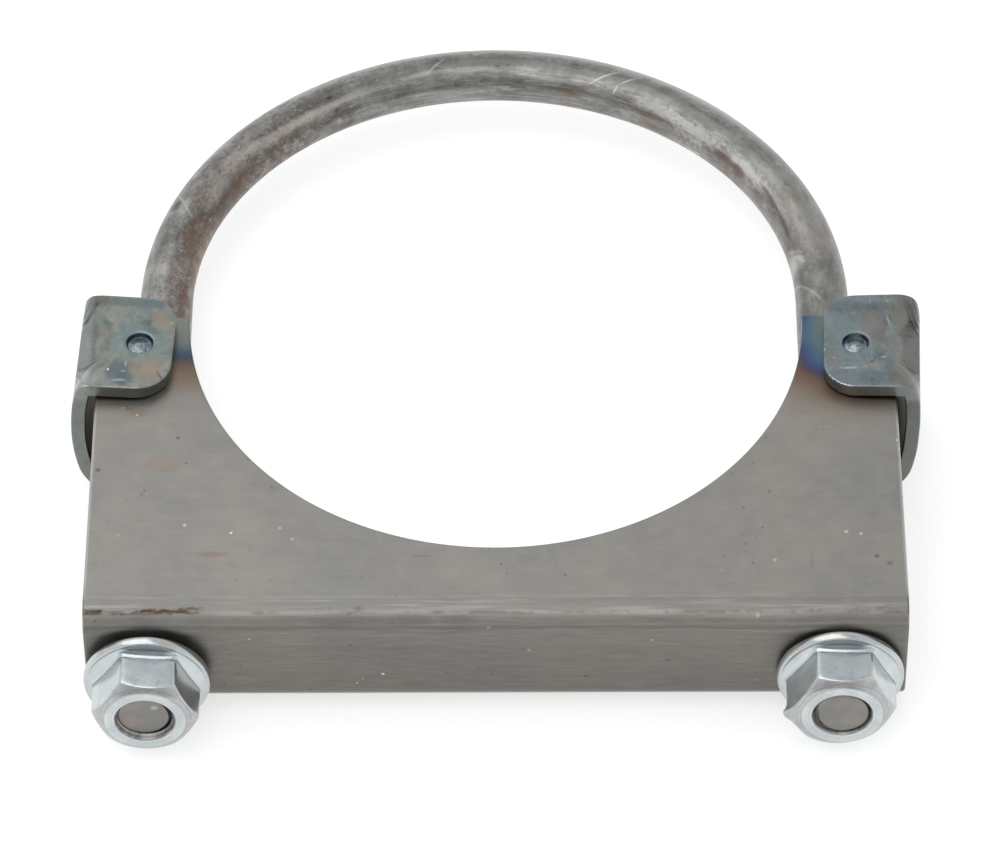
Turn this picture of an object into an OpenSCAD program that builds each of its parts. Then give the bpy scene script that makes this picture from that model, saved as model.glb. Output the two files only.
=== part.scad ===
// Exhaust clamp: a U-bolt, a folded channel saddle with two welded side brackets, and two flange nuts.
// All sizes are in millimetres. The clamp lies flat.
// Origin: centre of the saddle's half-round seat, at the channel's mid height.
// +X across the two legs, +Y from the nuts toward the arch, +Z up along the pipe's axis.

/* [Saddle channel] */
// Overall width of the saddle, across both ears
saddle_w = 115.6; // [112:0.2:118]
// Height of the channel over both flanges
saddle_h = 19; // [18.6:0.1:20]
// Sheet thickness of the saddle
saddle_t = 2.2; // [1.8:0.1:2.3]
// Outer radius of the two long folds
fold_r = 4; // [3:0.1:5]
// Radius of the half-round seat for the pipe
seat_r = 44.6; // [44.5:0.05:44.7]
// Distance from the seat's centre to the outer face of the web
web_y = 57.6; // [56:0.1:59]
// How far the ears reach past the seat's centre
ear_y = 0.3; // [0:0.1:1]
// How far the lower flange closes in at the ears
pinch = 1.2; // [0:0.1:1.3]
// Diameter of each leg hole in the web
leg_hole_d = 10.4; // [10.3:0.1:11]
// Height of the leg holes' centres from mid height
leg_hole_z = -0.9; // [-1.1:0.1:-0.8]

/* [U-bolt] */
// Diameter of the rod
rod_d = 7.8; // [7.6:0.05:7.8]
// Radius of the arch's centre line
arch_r = 48.77; // [48.7:0.01:48.9]
// How far the arch's centre lies beyond the seat's centre while the clamp is open
arch_y = 13.9; // [13:0.1:15]
// Sideways rest position of the loose U-bolt
arch_x = -0.34; // [-0.4:0.01:0]
// Height of the loose U-bolt from mid height
arch_z = -2; // [-2.1:0.1:-1.5]
// Y of the ends of the two legs
leg_end_y = -65.9; // [-67:0.1:-65]
// Chamfer at each leg's end
leg_chamfer = 0.7; // [0.3:0.1:1]

/* [Flange nuts] */
// Width across the hexagon's flats
nut_af = 13; // [12.7:0.1:13.2]
// Height of the nut with its flange
nut_h = 8; // [7.6:0.1:8.4]
// Diameter of the flange
flange_d = 17.9; // [17.4:0.1:18.2]
// Height of the flange's outer rim
rim_h = 1.3; // [1:0.1:1.6]
// Slope of the flange's upper side, in degrees
flange_slope = 24; // [18:1:28]
// Clearance between the leg and the nut, on the radius
nut_clear = 0.05; // [0.02:0.01:0.08]
// Diameter of the countersink at the nut's outer face
csk_d = 8.8; // [8.4:0.1:9.4]
// Turn of the left nut about its leg, in degrees
left_nut_turn = 5; // [-30:0.5:30]
// Turn of the right nut about its leg, in degrees
right_nut_turn = 2; // [-30:0.5:30]
// Gap between the web and the loose left nut
left_nut_gap = 1.2; // [0:0.1:1.5]
// Gap between the web and the loose right nut
right_nut_gap = 0.6; // [0:0.1:1.5]

/* [Side brackets] */
// Sheet thickness of the brackets
bracket_t = 2.15; // [2:0.05:2.3]
// Width of the bracket strip
bracket_w = 18.2; // [17:0.1:19]
// Y of the bracket's middle
bracket_y = -7; // [-7.5:0.1:-6.8]
// Outer radius of the upper bend
bend_top_r = 2.8; // [2.4:0.1:2.8]
// Outer radius of the lower bend
bend_low_r = 3; // [2.6:0.1:3.1]
// Radius of the bracket web's outward bow
bow_r = 60; // [55:1:80]
// X of the left bracket's outer face
left_out = 61.35; // [61.3:0.05:61.6]
// X of the left bracket's inner edges
left_in = 46.7; // [46:0.1:47.5]
// X of the right bracket's outer face
right_out = 61.75; // [61.65:0.05:62]
// X of the right bracket's inner edges
right_in = 47.5; // [46:0.1:47.5]
// Turn of the left bracket, in degrees
left_bracket_turn = -2.6; // [-2.6:0.1:0]
// Turn of the right bracket, in degrees
right_bracket_turn = -2.4; // [-2.6:0.1:0]
// How far the upper plates rise toward their bend
plate_rise = 0.4; // [0.3:0.05:0.6]
// Radius of the round corners of the bracket's plates
corner_r = 4.2; // [3:0.1:5]
// Diameter of the weld dimples
dimple_d = 4.1; // [3:0.1:5]
// Depth of the weld dimples
dimple_h = 0.9; // [0.5:0.1:1.2]

/* [Hidden] */
$fn = 96;

half_h = saddle_h / 2;
fold_in = fold_r - saddle_t;
fold_y = -web_y + fold_r;
flange_len = ear_y - fold_y;
leg_dx = arch_r;
rod_r = rod_d / 2;
nut_face = -web_y - 0.02;
hex_r = nut_af / 2 / cos(30);
bore_r = rod_r + nut_clear;

// lower face of the lower flange at a given y
function low_z(y) = -half_h + (y - fold_y) * pinch / flange_len;

// brackets: the upper plate lies on the upper flange, the lower plate meets the lower flange at its front edge
plate_top = half_h + bracket_t;
plate_low = low_z(bracket_y - bracket_w / 2) - 0.12 - bracket_t;
bow_z = 3;

// ---------- small shapes ----------

// points of an arc, its last point left to what follows
function arc_points(cx, cy, r, a0, a1, n) =
    [for (i = [0 : n - 1]) let (a = a0 + (a1 - a0) * (i + 0.5) / n)
        [cx + r / cos((a1 - a0) / n / 2) * cos(a), cy + r / cos((a1 - a0) / n / 2) * sin(a)]];

// ---------- saddle ----------

// a quarter of a ring about the origin, its corner toward -x and the side s of y
module fold_piece(s) {
    intersection() {
        difference() {
            circle(r = fold_r);
            circle(r = fold_in);
        }
        translate([-fold_r - 1, s > 0 ? 0 : -fold_r - 1]) square(fold_r + 1);
    }
}

// channel section, x is the part's y and y is the part's z
module channel_section() {
    // web
    translate([-web_y, -half_h + fold_r]) square([saddle_t, saddle_h - 2 * fold_r]);
    // upper fold and flange
    translate([fold_y, half_h - fold_r]) fold_piece(1);
    translate([fold_y, half_h - saddle_t]) square([flange_len, saddle_t]);
    // lower fold and its flange, which closes in toward the ears
    translate([fold_y, -half_h + fold_r]) fold_piece(-1);
    translate([fold_y, -half_h])
        polygon([[0, 0], [flange_len, pinch], [flange_len, pinch + saddle_t], [0, saddle_t]]);
}

module saddle() {
    color([0.58, 0.575, 0.555])
    difference() {
        translate([-saddle_w / 2, 0, 0])
            rotate([90, 0, 90]) linear_extrude(height = saddle_w) channel_section();
        // half-round seat for the pipe
        cylinder(r = seat_r, h = saddle_h + 4, center = true, $fn = 180);
        // holes for the two legs
        for (s = [-1, 1])
            translate([s * leg_dx, -web_y - 1, leg_hole_z])
                rotate([-90, 0, 0]) cylinder(d = leg_hole_d, h = saddle_t + 2);
    }
}

// ---------- brackets ----------

// C section of a bracket, outside toward +x, in the part's x and z
module bracket_section(x_out, x_in) {
    t = bracket_t;
    cx = x_out - bow_r;                        // centre of the bowed web
    zt = plate_top + plate_rise - bend_top_r;  // centre of the upper bend
    zl = plate_low + bend_low_r;               // centre of the lower bend
    xt = cx + sqrt(pow(bow_r - bend_top_r, 2) - pow(zt - bow_z, 2));
    xl = cx + sqrt(pow(bow_r - bend_low_r, 2) - pow(zl - bow_z, 2));
    at = atan2(zt - bow_z, xt - cx);
    al = atan2(zl - bow_z, xl - cx);
    rise = atan(plate_rise / (xt - x_in));     // slope of the upper plate
    z_out = zt + bend_top_r / cos(rise) + (x_in - xt) * tan(rise);
    z_in = zt + (bend_top_r - t) / cos(rise) + (x_in - xt) * tan(rise);
    polygon(concat(
        [[x_in, z_out]],
        arc_points(xt, zt, bend_top_r, 90 + rise, at, 10),
        arc_points(cx, bow_z, bow_r, at, al, 8),
        arc_points(xl, zl, bend_low_r, al, -90, 10),
        [[x_in, plate_low], [x_in, plate_low + t]],
        arc_points(xl, zl, bend_low_r - t, -90, al, 10),
        arc_points(cx, bow_z, bow_r - t, al, at, 8),
        arc_points(xt, zt, bend_top_r - t, at, 90 + rise, 10),
        [[x_in, z_in]]));
}

// outline of a bracket from above, with round inner corners
module bracket_outline(x_out, x_in) {
    w = bracket_w;
    translate([x_in + corner_r, -w / 2]) square([x_out + 2 - x_in - corner_r, w]);
    translate([x_in, -w / 2 + corner_r]) square([corner_r * 1.5, w - 2 * corner_r]);
    for (s = [-1, 1])
        translate([x_in + corner_r, s * (w / 2 - corner_r)]) circle(r = corner_r, $fn = 64);
}

module bracket(x_out, x_in, dimple_x) {
    translate([0, bracket_y, 0])
    difference() {
        intersection() {
            translate([0, bracket_w / 2, 0]) rotate([90, 0, 0])
                linear_extrude(height = bracket_w) bracket_section(x_out, x_in);
            translate([0, 0, -saddle_h])
                linear_extrude(height = 2 * saddle_h) bracket_outline(x_out, x_in);
        }
        // weld dimples in both plates
        translate([dimple_x, 0, plate_top + plate_rise / 3 - dimple_h]) cylinder(d = dimple_d, h = 3, $fn = 48);
        translate([dimple_x, 0, plate_low + dimple_h - 3]) cylinder(d = dimple_d, h = 3, $fn = 48);
    }
}

// a bracket turned about a point near its weld
module turned(turn) {
    translate([52, bracket_y, 0]) rotate([0, 0, turn]) translate([-52, -bracket_y, 0]) children();
}

module left_bracket() {
    color([0.50, 0.52, 0.50]) mirror([1, 0, 0]) turned(-left_bracket_turn) bracket(left_out, left_in, 51.6);
}

module right_bracket() {
    color([0.48, 0.50, 0.49]) turned(right_bracket_turn) bracket(right_out, right_in, 52.1);
}

// ---------- U-bolt ----------

module leg() {
    // a straight leg along -y from the arch's centre line, with its end chamfer
    len = arch_y - leg_end_y;
    rotate([90, 0, 0]) {
        cylinder(r = rod_r, h = len - leg_chamfer);
        translate([0, 0, len - leg_chamfer])
            cylinder(r1 = rod_r, r2 = rod_r - leg_chamfer, h = leg_chamfer);
    }
}

module u_bolt() {
    color([0.56, 0.54, 0.52])
    translate([arch_x, arch_y, arch_z]) {
        rotate_extrude(angle = 180, $fn = 180) translate([arch_r, 0]) circle(r = rod_r, $fn = 64);
        for (s = [-1, 1]) translate([s * arch_r, 0, 0]) leg();
    }
}

// ---------- nuts ----------

// flange nut, seated at z = 0, its outer face at z = nut_h
module flange_nut() {
    fr = flange_d / 2;
    rise = tan(flange_slope);
    ch = 0.9;
    difference() {
        union() {
            // round flange with its sloped upper side
            cylinder(r = fr, h = rim_h);
            translate([0, 0, rim_h])
                cylinder(r1 = fr - 0.25, r2 = fr - 0.25 - 3.2, h = 3.2 * rise);
            // hexagon, its outer corners turned off to a cone
            intersection() {
                translate([0, 0, rim_h / 2]) cylinder(r = hex_r, h = nut_h - rim_h / 2, $fn = 6);
                union() {
                    cylinder(r = hex_r + 1, h = nut_h - ch);
                    translate([0, 0, nut_h - ch])
                        cylinder(r1 = hex_r + 0.35, r2 = nut_af / 2 - 0.35, h = ch);
                }
            }
        }
        // bore and countersinks
        translate([0, 0, -1]) cylinder(r = bore_r, h = nut_h + 2);
        translate([0, 0, nut_h - (csk_d / 2 - bore_r)])
            cylinder(r1 = bore_r, r2 = csk_d / 2 + 0.5, h = csk_d / 2 - bore_r + 0.5);
        translate([0, 0, -0.5])
            cylinder(r1 = csk_d / 2 + 0.5, r2 = bore_r, h = csk_d / 2 - bore_r + 0.5);
    }
}

module nut_at(s, turn, gap) {
    translate([arch_x + s * leg_dx, nut_face - gap, arch_z])
        rotate([90, 0, 0]) rotate([0, 0, -turn]) flange_nut();
}

module left_nut() { color([0.72, 0.75, 0.78]) nut_at(-1, left_nut_turn, left_nut_gap); }
module right_nut() { color([0.72, 0.75, 0.78]) nut_at(1, right_nut_turn, right_nut_gap); }

saddle();
left_bracket();
right_bracket();
u_bolt();
left_nut();
right_nut();
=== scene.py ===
import math

import bpy
import numpy as np
from mathutils import Matrix, Vector
from mathutils.geometry import delaunay_2d_cdt


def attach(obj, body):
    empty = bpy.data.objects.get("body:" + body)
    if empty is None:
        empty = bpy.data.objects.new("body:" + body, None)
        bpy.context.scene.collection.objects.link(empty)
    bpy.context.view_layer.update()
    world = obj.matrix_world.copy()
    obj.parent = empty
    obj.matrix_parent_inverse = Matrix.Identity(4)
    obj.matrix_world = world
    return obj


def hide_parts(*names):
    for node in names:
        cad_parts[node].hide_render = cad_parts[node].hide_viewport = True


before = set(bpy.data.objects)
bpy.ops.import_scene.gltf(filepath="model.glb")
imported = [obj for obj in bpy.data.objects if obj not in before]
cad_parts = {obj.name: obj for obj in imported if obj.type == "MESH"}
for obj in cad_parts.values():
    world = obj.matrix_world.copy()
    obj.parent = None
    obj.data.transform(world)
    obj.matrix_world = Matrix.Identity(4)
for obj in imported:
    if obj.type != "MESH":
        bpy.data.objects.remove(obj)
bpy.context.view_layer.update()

MM = 0.001
scene = bpy.context.scene

# ------------------------------------------------------------------ camera
# the camera was solved from the outlines of the photograph, in millimetres in the part's frame
F_PX = 5992.589
EL, AZ, ROLL = math.radians(47.3835), math.radians(0.3102), math.radians(-0.4078)
DIST = 872.387
TARGET = np.array([0.548, -13.272, 0.0])
BACK = np.array([math.sin(AZ) * math.cos(EL), -math.cos(AZ) * math.cos(EL), math.sin(EL)])
RIGHT0 = np.array([math.cos(AZ), math.sin(AZ), 0.0])
UP0 = np.cross(BACK, RIGHT0)
RIGHT = RIGHT0 * math.cos(ROLL) + UP0 * math.sin(ROLL)
UP = -RIGHT0 * math.sin(ROLL) + UP0 * math.cos(ROLL)
EYE = TARGET + BACK * DIST

cam_data = bpy.data.cameras.new("camera")
cam_data.sensor_fit = "HORIZONTAL"
cam_data.sensor_width = 36.0
cam_data.lens = 36.0 * F_PX / 1000.0
cam_data.clip_start = 0.01
cam_data.clip_end = 20.0
cam = bpy.data.objects.new("camera", cam_data)
scene.collection.objects.link(cam)
m = Matrix.Identity(4)
for i in range(3):
    m[i][0], m[i][1], m[i][2], m[i][3] = RIGHT[i], UP[i], BACK[i], EYE[i] * MM
cam.matrix_world = m
scene.camera = cam


def seen(px, py, axis, level):
    """The point (mm) that the pixel px, py of the picture shows on the plane where that axis has that value."""
    d = RIGHT * (px - 500.0) / F_PX - UP * (py - 428.5) / F_PX - BACK
    t = (level - EYE[axis]) / d[axis]
    return EYE + d * t


# ------------------------------------------------------------------ mesh helpers
def put(name, verts, faces, body, node, mats, normals=None, mat_of=None):
    verts = np.array(verts, float)
    verts[:, 2] = np.maximum(verts[:, 2], -10.945)          # nothing reaches below the lowest rim
    me = bpy.data.meshes.new(name)
    me.from_pydata([tuple(v * MM) for v in np.asarray(verts)], [], [tuple(int(i) for i in f) for f in faces])
    me.update()
    for p in me.polygons:
        p.use_smooth = True
    for mt in mats:
        me.materials.append(mt)
    if mat_of is not None:
        for p, k in zip(me.polygons, mat_of):
            p.material_index = k
    if normals is not None:
        me.normals_split_custom_set_from_vertices([tuple(n) for n in np.asarray(normals)])
    ob = bpy.data.objects.new(name, me)
    scene.collection.objects.link(ob)
    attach(ob, body)
    if node:
        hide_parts(node)
    return ob


def unit(a):
    a = np.asarray(a, float)
    return a / np.maximum(np.linalg.norm(a, axis=-1, keepdims=True), 1e-12)


def grid(P, wrap_i=False, wrap_j=False, flip=False, base=0):
    """Quads over a grid of points P[i, j]."""
    ni, nj = P.shape[:2]
    faces = []
    for i in range(ni if wrap_i else ni - 1):
        for j in range(nj if wrap_j else nj - 1):
            a = i * nj + j
            b = ((i + 1) % ni) * nj + j
            c = ((i + 1) % ni) * nj + (j + 1) % nj
            d = i * nj + (j + 1) % nj
            faces.append((d + base, c + base, b + base, a + base) if flip else (a + base, b + base, c + base, d + base))
    return P.reshape(-1, 3), faces


def rounded(points, radii, step=0.8):
    """A closed outline through corner points, each corner rounded, long sides divided."""
    out = []
    n = len(points)
    for i in range(n):
        p = np.array(points[i], float)
        a = np.array(points[i - 1], float)
        b = np.array(points[(i + 1) % n], float)
        r = radii[i]
        ua, ub = unit(a - p), unit(b - p)
        ang = math.acos(max(-1, min(1, float(ua @ ub))))
        if r <= 0 or ang > math.pi - 0.02:
            out.append([p])
            continue
        d = r / math.tan(ang / 2)
        c = p + unit(ua + ub) * (r / math.sin(ang / 2))
        s, e = p + ua * d, p + ub * d
        a0, a1 = math.atan2(*(s - c)[::-1]), math.atan2(*(e - c)[::-1])
        da = (a1 - a0 + math.pi) % (2 * math.pi) - math.pi
        k = max(3, int(abs(da) / math.radians(9)))
        out.append([c + r * np.array([math.cos(a0 + da * t / k), math.sin(a0 + da * t / k)]) for t in range(k + 1)])
    pts = []
    for i in range(n):
        pts += out[i]
        s, e = out[i][-1], out[(i + 1) % n][0]
        k = max(1, int(np.linalg.norm(e - s) / step))
        pts += [s + (e - s) * t / k for t in range(1, k)]
    return np.array(pts)


def inside(pt, loop):
    x, y = pt
    n = len(loop)
    c = False
    j = n - 1
    for i in range(n):
        if (loop[i][1] > y) != (loop[j][1] > y):
            if x < (loop[j][0] - loop[i][0]) * (y - loop[i][1]) / (loop[j][1] - loop[i][1]) + loop[i][0]:
                c = not c
        j = i
    return c


def sheet(loops, place, t, e_out, e_in, rows, extra=(), span=2.0):
    """A sheet-metal part. loops are flat outlines (the first one the border, the others holes), place(u, v, w) bends
    the flat pattern into shape with w the depth below the outer face. Cut edges are rounded by e_out and e_in."""
    fixed = []
    for k, lp in enumerate(loops):
        pts = [np.array(p) for p in lp]
        new = []
        for i, p in enumerate(pts):
            q = pts[(i + 1) % len(pts)]
            new.append(p)
            cuts = []
            for r in rows:
                if (p[1] - r) * (q[1] - r) < 0 and min(abs(p[1] - r), abs(q[1] - r)) > 1e-6:
                    cuts.append((r - p[1]) / (q[1] - p[1]))
            for s in sorted(cuts):
                new.append(p + (q - p) * s)
        a = np.array(new)
        area = 0.5 * np.sum(a[:, 0] * np.roll(a[:, 1], -1) - np.roll(a[:, 0], -1) * a[:, 1])
        if (area > 0) != (k == 0):
            a = a[::-1]
        fixed.append(a)
    # outward normals in the flat pattern, and the mitre at each point
    outs = []
    for a in fixed:
        d0 = unit(a - np.roll(a, 1, axis=0))
        d1 = unit(np.roll(a, -1, axis=0) - a)
        n0 = np.stack([d0[:, 1], -d0[:, 0]], 1)
        n1 = np.stack([d1[:, 1], -d1[:, 0]], 1)
        nn = unit(n0 + n1)
        mit = 1.0 / np.maximum(0.5, np.sum(nn * n0, 1))
        outs.append((nn, mit))
    verts, norms, faces = [], [], []

    def surf_normal(u, v, w, sign):
        h = 0.01
        pu = place(u + h, v, w) - place(u - h, v, w)
        pv = place(u, v + h, w) - place(u, v - h, w)
        return unit(np.cross(pu, pv)) * sign

    sgn = 1.0
    test = surf_normal(*fixed[0][0], 0.0, 1.0)
    deeper = place(*fixed[0][0], t) - place(*fixed[0][0], 0.0)
    if float(test @ deeper) > 0:
        sgn = -1.0

    def skin(e, w, sign):
        """The outer or inner face: the outline inset by e, triangulated."""
        pts, edges, ring = [], [], []
        for a, (nn, mit) in zip(fixed, outs):
            s = len(pts)
            ins = a - nn * (mit * e)[:, None]
            ring.append(list(range(s, s + len(a))))
            pts += [tuple(p) for p in ins]
            edges += [(s + i, s + (i + 1) % len(a)) for i in range(len(a))]
        nb = len(pts)
        border = np.array(pts[:len(fixed[0])])
        holes = [np.array([pts[i] for i in r]) for r in ring[1:]]
        for r in rows:
            xs = sorted(p[0] for p in border if abs(p[1] - r) < 1e-6)
            if len(xs) < 2:
                continue
            u0, u1 = xs[0], xs[-1]
            k = max(2, int((u1 - u0) / span))
            prev = None
            for i in range(1, k):
                q = (u0 + (u1 - u0) * i / k, r)
                pts.append(q)
                if prev is not None:
                    edges.append((prev, len(pts) - 1))
                prev = len(pts) - 1
        for q in extra:
            pts.append(tuple(q))
        vo, eo, fo, ov, oe, of = delaunay_2d_cdt([Vector(p) for p in pts], edges, [], 0, 1e-7)
        P2 = np.array([tuple(v) for v in vo])
        back = {}
        for k, src in enumerate(ov):
            for s in src:
                back[s] = k
        keep = []
        for f in fo:
            c = P2[list(f)].mean(0)
            if inside(c, border) and not any(inside(c, h) for h in holes):
                keep.append(f)
        used = sorted({i for f in keep for i in f})
        at = {i: len(verts) + k for k, i in enumerate(used)}
        for i in used:
            verts.append(place(P2[i][0], P2[i][1], w))
            norms.append(surf_normal(P2[i][0], P2[i][1], w, sgn * sign))
        for f in keep:
            a, b, c = (P2[i] for i in f[:3])
            ccw = (b[0] - a[0]) * (c[1] - a[1]) - (b[1] - a[1]) * (c[0] - a[0]) > 0
            g = [at[i] for i in f]
            if ccw != (sgn * sign > 0):
                g = g[::-1]
            faces.append(tuple(g))
        return [[at[back[i]] for i in r] for r in ring]

    top = skin(e_out, 0.0, 1.0)
    low = skin(e_in, t, -1.0)
    prof = []
    for k in range(1, 5):
        a = math.pi / 2 * k / 4
        prof.append((e_out * (1 - math.sin(a)), e_out * (1 - math.cos(a)), math.cos(a), math.sin(a)))
    for k in range(0, 4):
        a = math.pi / 2 * k / 4
        prof.append((e_in * (1 - math.cos(a)), t - e_in * (1 - math.sin(a)), -math.sin(a), math.cos(a)))
    for li, (a, (nn, mit)) in enumerate(zip(fixed, outs)):
        prev = top[li]
        n = len(a)
        for s, w, cn, ct in prof:
            cur = []
            for i in range(n):
                q = a[i] - nn[i] * mit[i] * s
                cur.append(len(verts))
                verts.append(place(q[0], q[1], w))
                N = surf_normal(a[i][0], a[i][1], 0.0, sgn)
                T = unit(place(*(a[i] + nn[i] * 0.01), w) - place(*(a[i] - nn[i] * 0.01), w))
                norms.append(unit(N * cn + T * ct))
            for i in range(n):
                j = (i + 1) % n
                f = (prev[i], cur[i], cur[j], prev[j])
                faces.append(f if sgn > 0 else f[::-1])
            prev = cur
        for i in range(n):
            j = (i + 1) % n
            f = (prev[i], low[li][i], low[li][j], prev[j])
            faces.append(f if sgn > 0 else f[::-1])
    return np.array(verts), faces, np.array(norms)


# ------------------------------------------------------------------ material helpers
class Mat:
    """A procedural material written as small sums. p is the place on the part in millimetres."""

    def __init__(self, name):
        self.m = bpy.data.materials.new(name)
        self.m.use_nodes = True
        self.t = self.m.node_tree
        self.t.nodes.clear()
        out = self.t.nodes.new("ShaderNodeOutputMaterial")
        self.s = self.t.nodes.new("ShaderNodeBsdfPrincipled")
        self.t.links.new(self.s.outputs[0], out.inputs[0])
        tc = self.t.nodes.new("ShaderNodeTexCoord")
        sc = self.t.nodes.new("ShaderNodeVectorMath")
        sc.operation = "SCALE"
        sc.inputs["Scale"].default_value = 1000.0
        self.t.links.new(tc.outputs["Object"], sc.inputs[0])
        self.p = sc.outputs[0]
        sp = self.t.nodes.new("ShaderNodeSeparateXYZ")
        self.t.links.new(self.p, sp.inputs[0])
        self.x, self.y, self.z = sp.outputs
        geo = self.t.nodes.new("ShaderNodeNewGeometry")
        sn = self.t.nodes.new("ShaderNodeSeparateXYZ")
        self.t.links.new(geo.outputs["Normal"], sn.inputs[0])
        self.nx, self.ny, self.nz = sn.outputs

    def set(self, socket, v):
        if isinstance(v, (int, float)):
            socket.default_value = v
        elif isinstance(v, (tuple, list)):
            socket.default_value = tuple(v) + ((1.0,) if len(v) == 3 and len(socket.default_value) == 4 else ())
        else:
            self.t.links.new(v, socket)

    def op(self, kind, a, b=0.0, clamp=False):
        n = self.t.nodes.new("ShaderNodeMath")
        n.operation = kind
        n.use_clamp = clamp
        self.set(n.inputs[0], a)
        self.set(n.inputs[1], b)
        return n.outputs[0]

    def add(self, a, b):
        return self.op("ADD", a, b)

    def sub(self, a, b):
        return self.op("SUBTRACT", a, b)

    def mul(self, a, b):
        return self.op("MULTIPLY", a, b)

    def inv(self, a):
        return self.op("SUBTRACT", 1.0, a)

    def step(self, x, e0, e1):
        """0 below e0, 1 above e1, smooth between; e0 may be the larger one."""
        n = self.t.nodes.new("ShaderNodeMapRange")
        n.interpolation_type = "SMOOTHSTEP"
        lo, hi = min(e0, e1), max(e0, e1)
        self.set(n.inputs["Value"], x)
        n.inputs["From Min"].default_value = lo
        n.inputs["From Max"].default_value = hi
        n.inputs["To Min"].default_value = 0.0 if e0 < e1 else 1.0
        n.inputs["To Max"].default_value = 1.0 if e0 < e1 else 0.0
        return n.outputs[0]

    def vec(self, x, y, z):
        n = self.t.nodes.new("ShaderNodeCombineXYZ")
        for i, v in enumerate((x, y, z)):
            self.set(n.inputs[i], v)
        return n.outputs[0]

    def move(self, v, scale=(1, 1, 1), shift=(0, 0, 0), turn=(0, 0, 0)):
        n = self.t.nodes.new("ShaderNodeMapping")
        self.set(n.inputs["Vector"], v)
        n.inputs["Scale"].default_value = scale
        n.inputs["Location"].default_value = shift
        n.inputs["Rotation"].default_value = turn
        return n.outputs[0]

    def noise(self, scale, detail=3.0, rough=0.5, v=None, seed=0.0, stretch=None, warp=0.0):
        """Noise with a grain of 1/scale millimetres."""
        q = self.p if v is None else v
        if stretch is not None or seed:
            q = self.move(q, stretch or (1, 1, 1), (seed, seed * 0.7, -seed))
        n = self.t.nodes.new("ShaderNodeTexNoise")
        self.set(n.inputs["Vector"], q)
        n.inputs["Scale"].default_value = scale
        n.inputs["Detail"].default_value = detail
        n.inputs["Roughness"].default_value = rough
        n.inputs["Distortion"].default_value = warp
        return n.outputs["Fac"]

    def cells(self, scale, v=None, seed=0.0, stretch=None, kind="F1"):
        q = self.p if v is None else v
        if stretch is not None or seed:
            q = self.move(q, stretch or (1, 1, 1), (seed, seed * 0.7, -seed))
        n = self.t.nodes.new("ShaderNodeTexVoronoi")
        n.feature = kind
        self.set(n.inputs["Vector"], q)
        n.inputs["Scale"].default_value = scale
        return n.outputs["Distance"]

    def mix(self, fac, a, b, kind="MIX"):
        n = self.t.nodes.new("ShaderNodeMix")
        n.data_type = "RGBA"
        n.blend_type = kind
        n.clamp_factor = True
        self.set(n.inputs[0], fac)
        self.set(n.inputs[6], a)
        self.set(n.inputs[7], b)
        return n.outputs[2]

    def lerp(self, fac, a, b):
        n = self.t.nodes.new("ShaderNodeMix")
        n.data_type = "FLOAT"
        self.set(n.inputs[0], fac)
        self.set(n.inputs[2], a)
        self.set(n.inputs[3], b)
        return n.outputs[0]

    def ramp(self, fac, stops):
        n = self.t.nodes.new("ShaderNodeValToRGB")
        self.set(n.inputs[0], fac)
        cr = n.color_ramp
        while len(cr.elements) > 1:
            cr.elements.remove(cr.elements[-1])
        cr.elements[0].position = stops[0][0]
        cr.elements[0].color = tuple(stops[0][1]) + (1.0,)
        for q, c in stops[1:]:
            e = cr.elements.new(q)
            e.color = tuple(c) + (1.0,)
        return n.outputs[0]

    def blob(self, a, b, ca, cb, ra, rb, soft=0.3, turn=0.0, ragged=None, amount=0.0):
        """A soft spot in the coordinates a, b."""
        da, db = self.sub(a, ca), self.sub(b, cb)
        if turn:
            c, s = math.cos(turn), math.sin(turn)
            da, db = self.add(self.mul(da, c), self.mul(db, s)), self.sub(self.mul(db, c), self.mul(da, s))
        da, db = self.mul(da, 1.0 / ra), self.mul(db, 1.0 / rb)
        d = self.op("SQRT", self.add(self.mul(da, da), self.mul(db, db)))
        if ragged is not None:
            d = self.add(d, self.mul(self.sub(ragged, 0.5), amount))
        return self.step(d, 1.0 + soft, 1.0 - soft)

    def bump(self, height, strength, dist=0.0001, normal=None):
        n = self.t.nodes.new("ShaderNodeBump")
        n.inputs["Strength"].default_value = strength
        n.inputs["Distance"].default_value = dist
        self.set(n.inputs["Height"], height)
        if normal is not None:
            self.t.links.new(normal, n.inputs["Normal"])
        return n.outputs[0]

    def done(self, color, rough, metal=1.0, normal=None):
        self.set(self.s.inputs["Base Color"], color)
        self.set(self.s.inputs["Roughness"], rough)
        self.set(self.s.inputs["Metallic"], metal)
        if normal is not None:
            self.t.links.new(normal, self.s.inputs["Normal"])
        return self.m


def rgb(r, g, b):
    """Linear colour from 0-255 screen values."""
    return tuple(((c / 255.0) / 12.92 if c <= 10 else ((c / 255.0 + 0.055) / 1.055) ** 2.4) for c in (r, g, b))


def plain(name, col, rough, metal=1.0):
    g = Mat(name)
    return g.done(col, rough, metal)


def lift(col, k):
    """A 0-255 screen colour as a linear colour, k times as bright."""
    return tuple(min(1.0, c * k) for c in rgb(*col))


def spot(g, px, py, rx, ry, z=9.5, soft=0.3, turn=0.0, ragged=None, amount=0.0):
    """A spot on a level face, placed and sized (half axes) by the picture's pixels."""
    c = seen(px, py, 2, z)
    return g.blob(g.x, g.y, float(c[0]), float(c[1]), rx / 6.87, ry / 5.06, soft, turn, ragged, amount)


def hold(g, *masks):
    """The product of masks."""
    out = masks[0]
    for m_ in masks[1:]:
        out = g.mul(out, m_)
    return out


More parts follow.
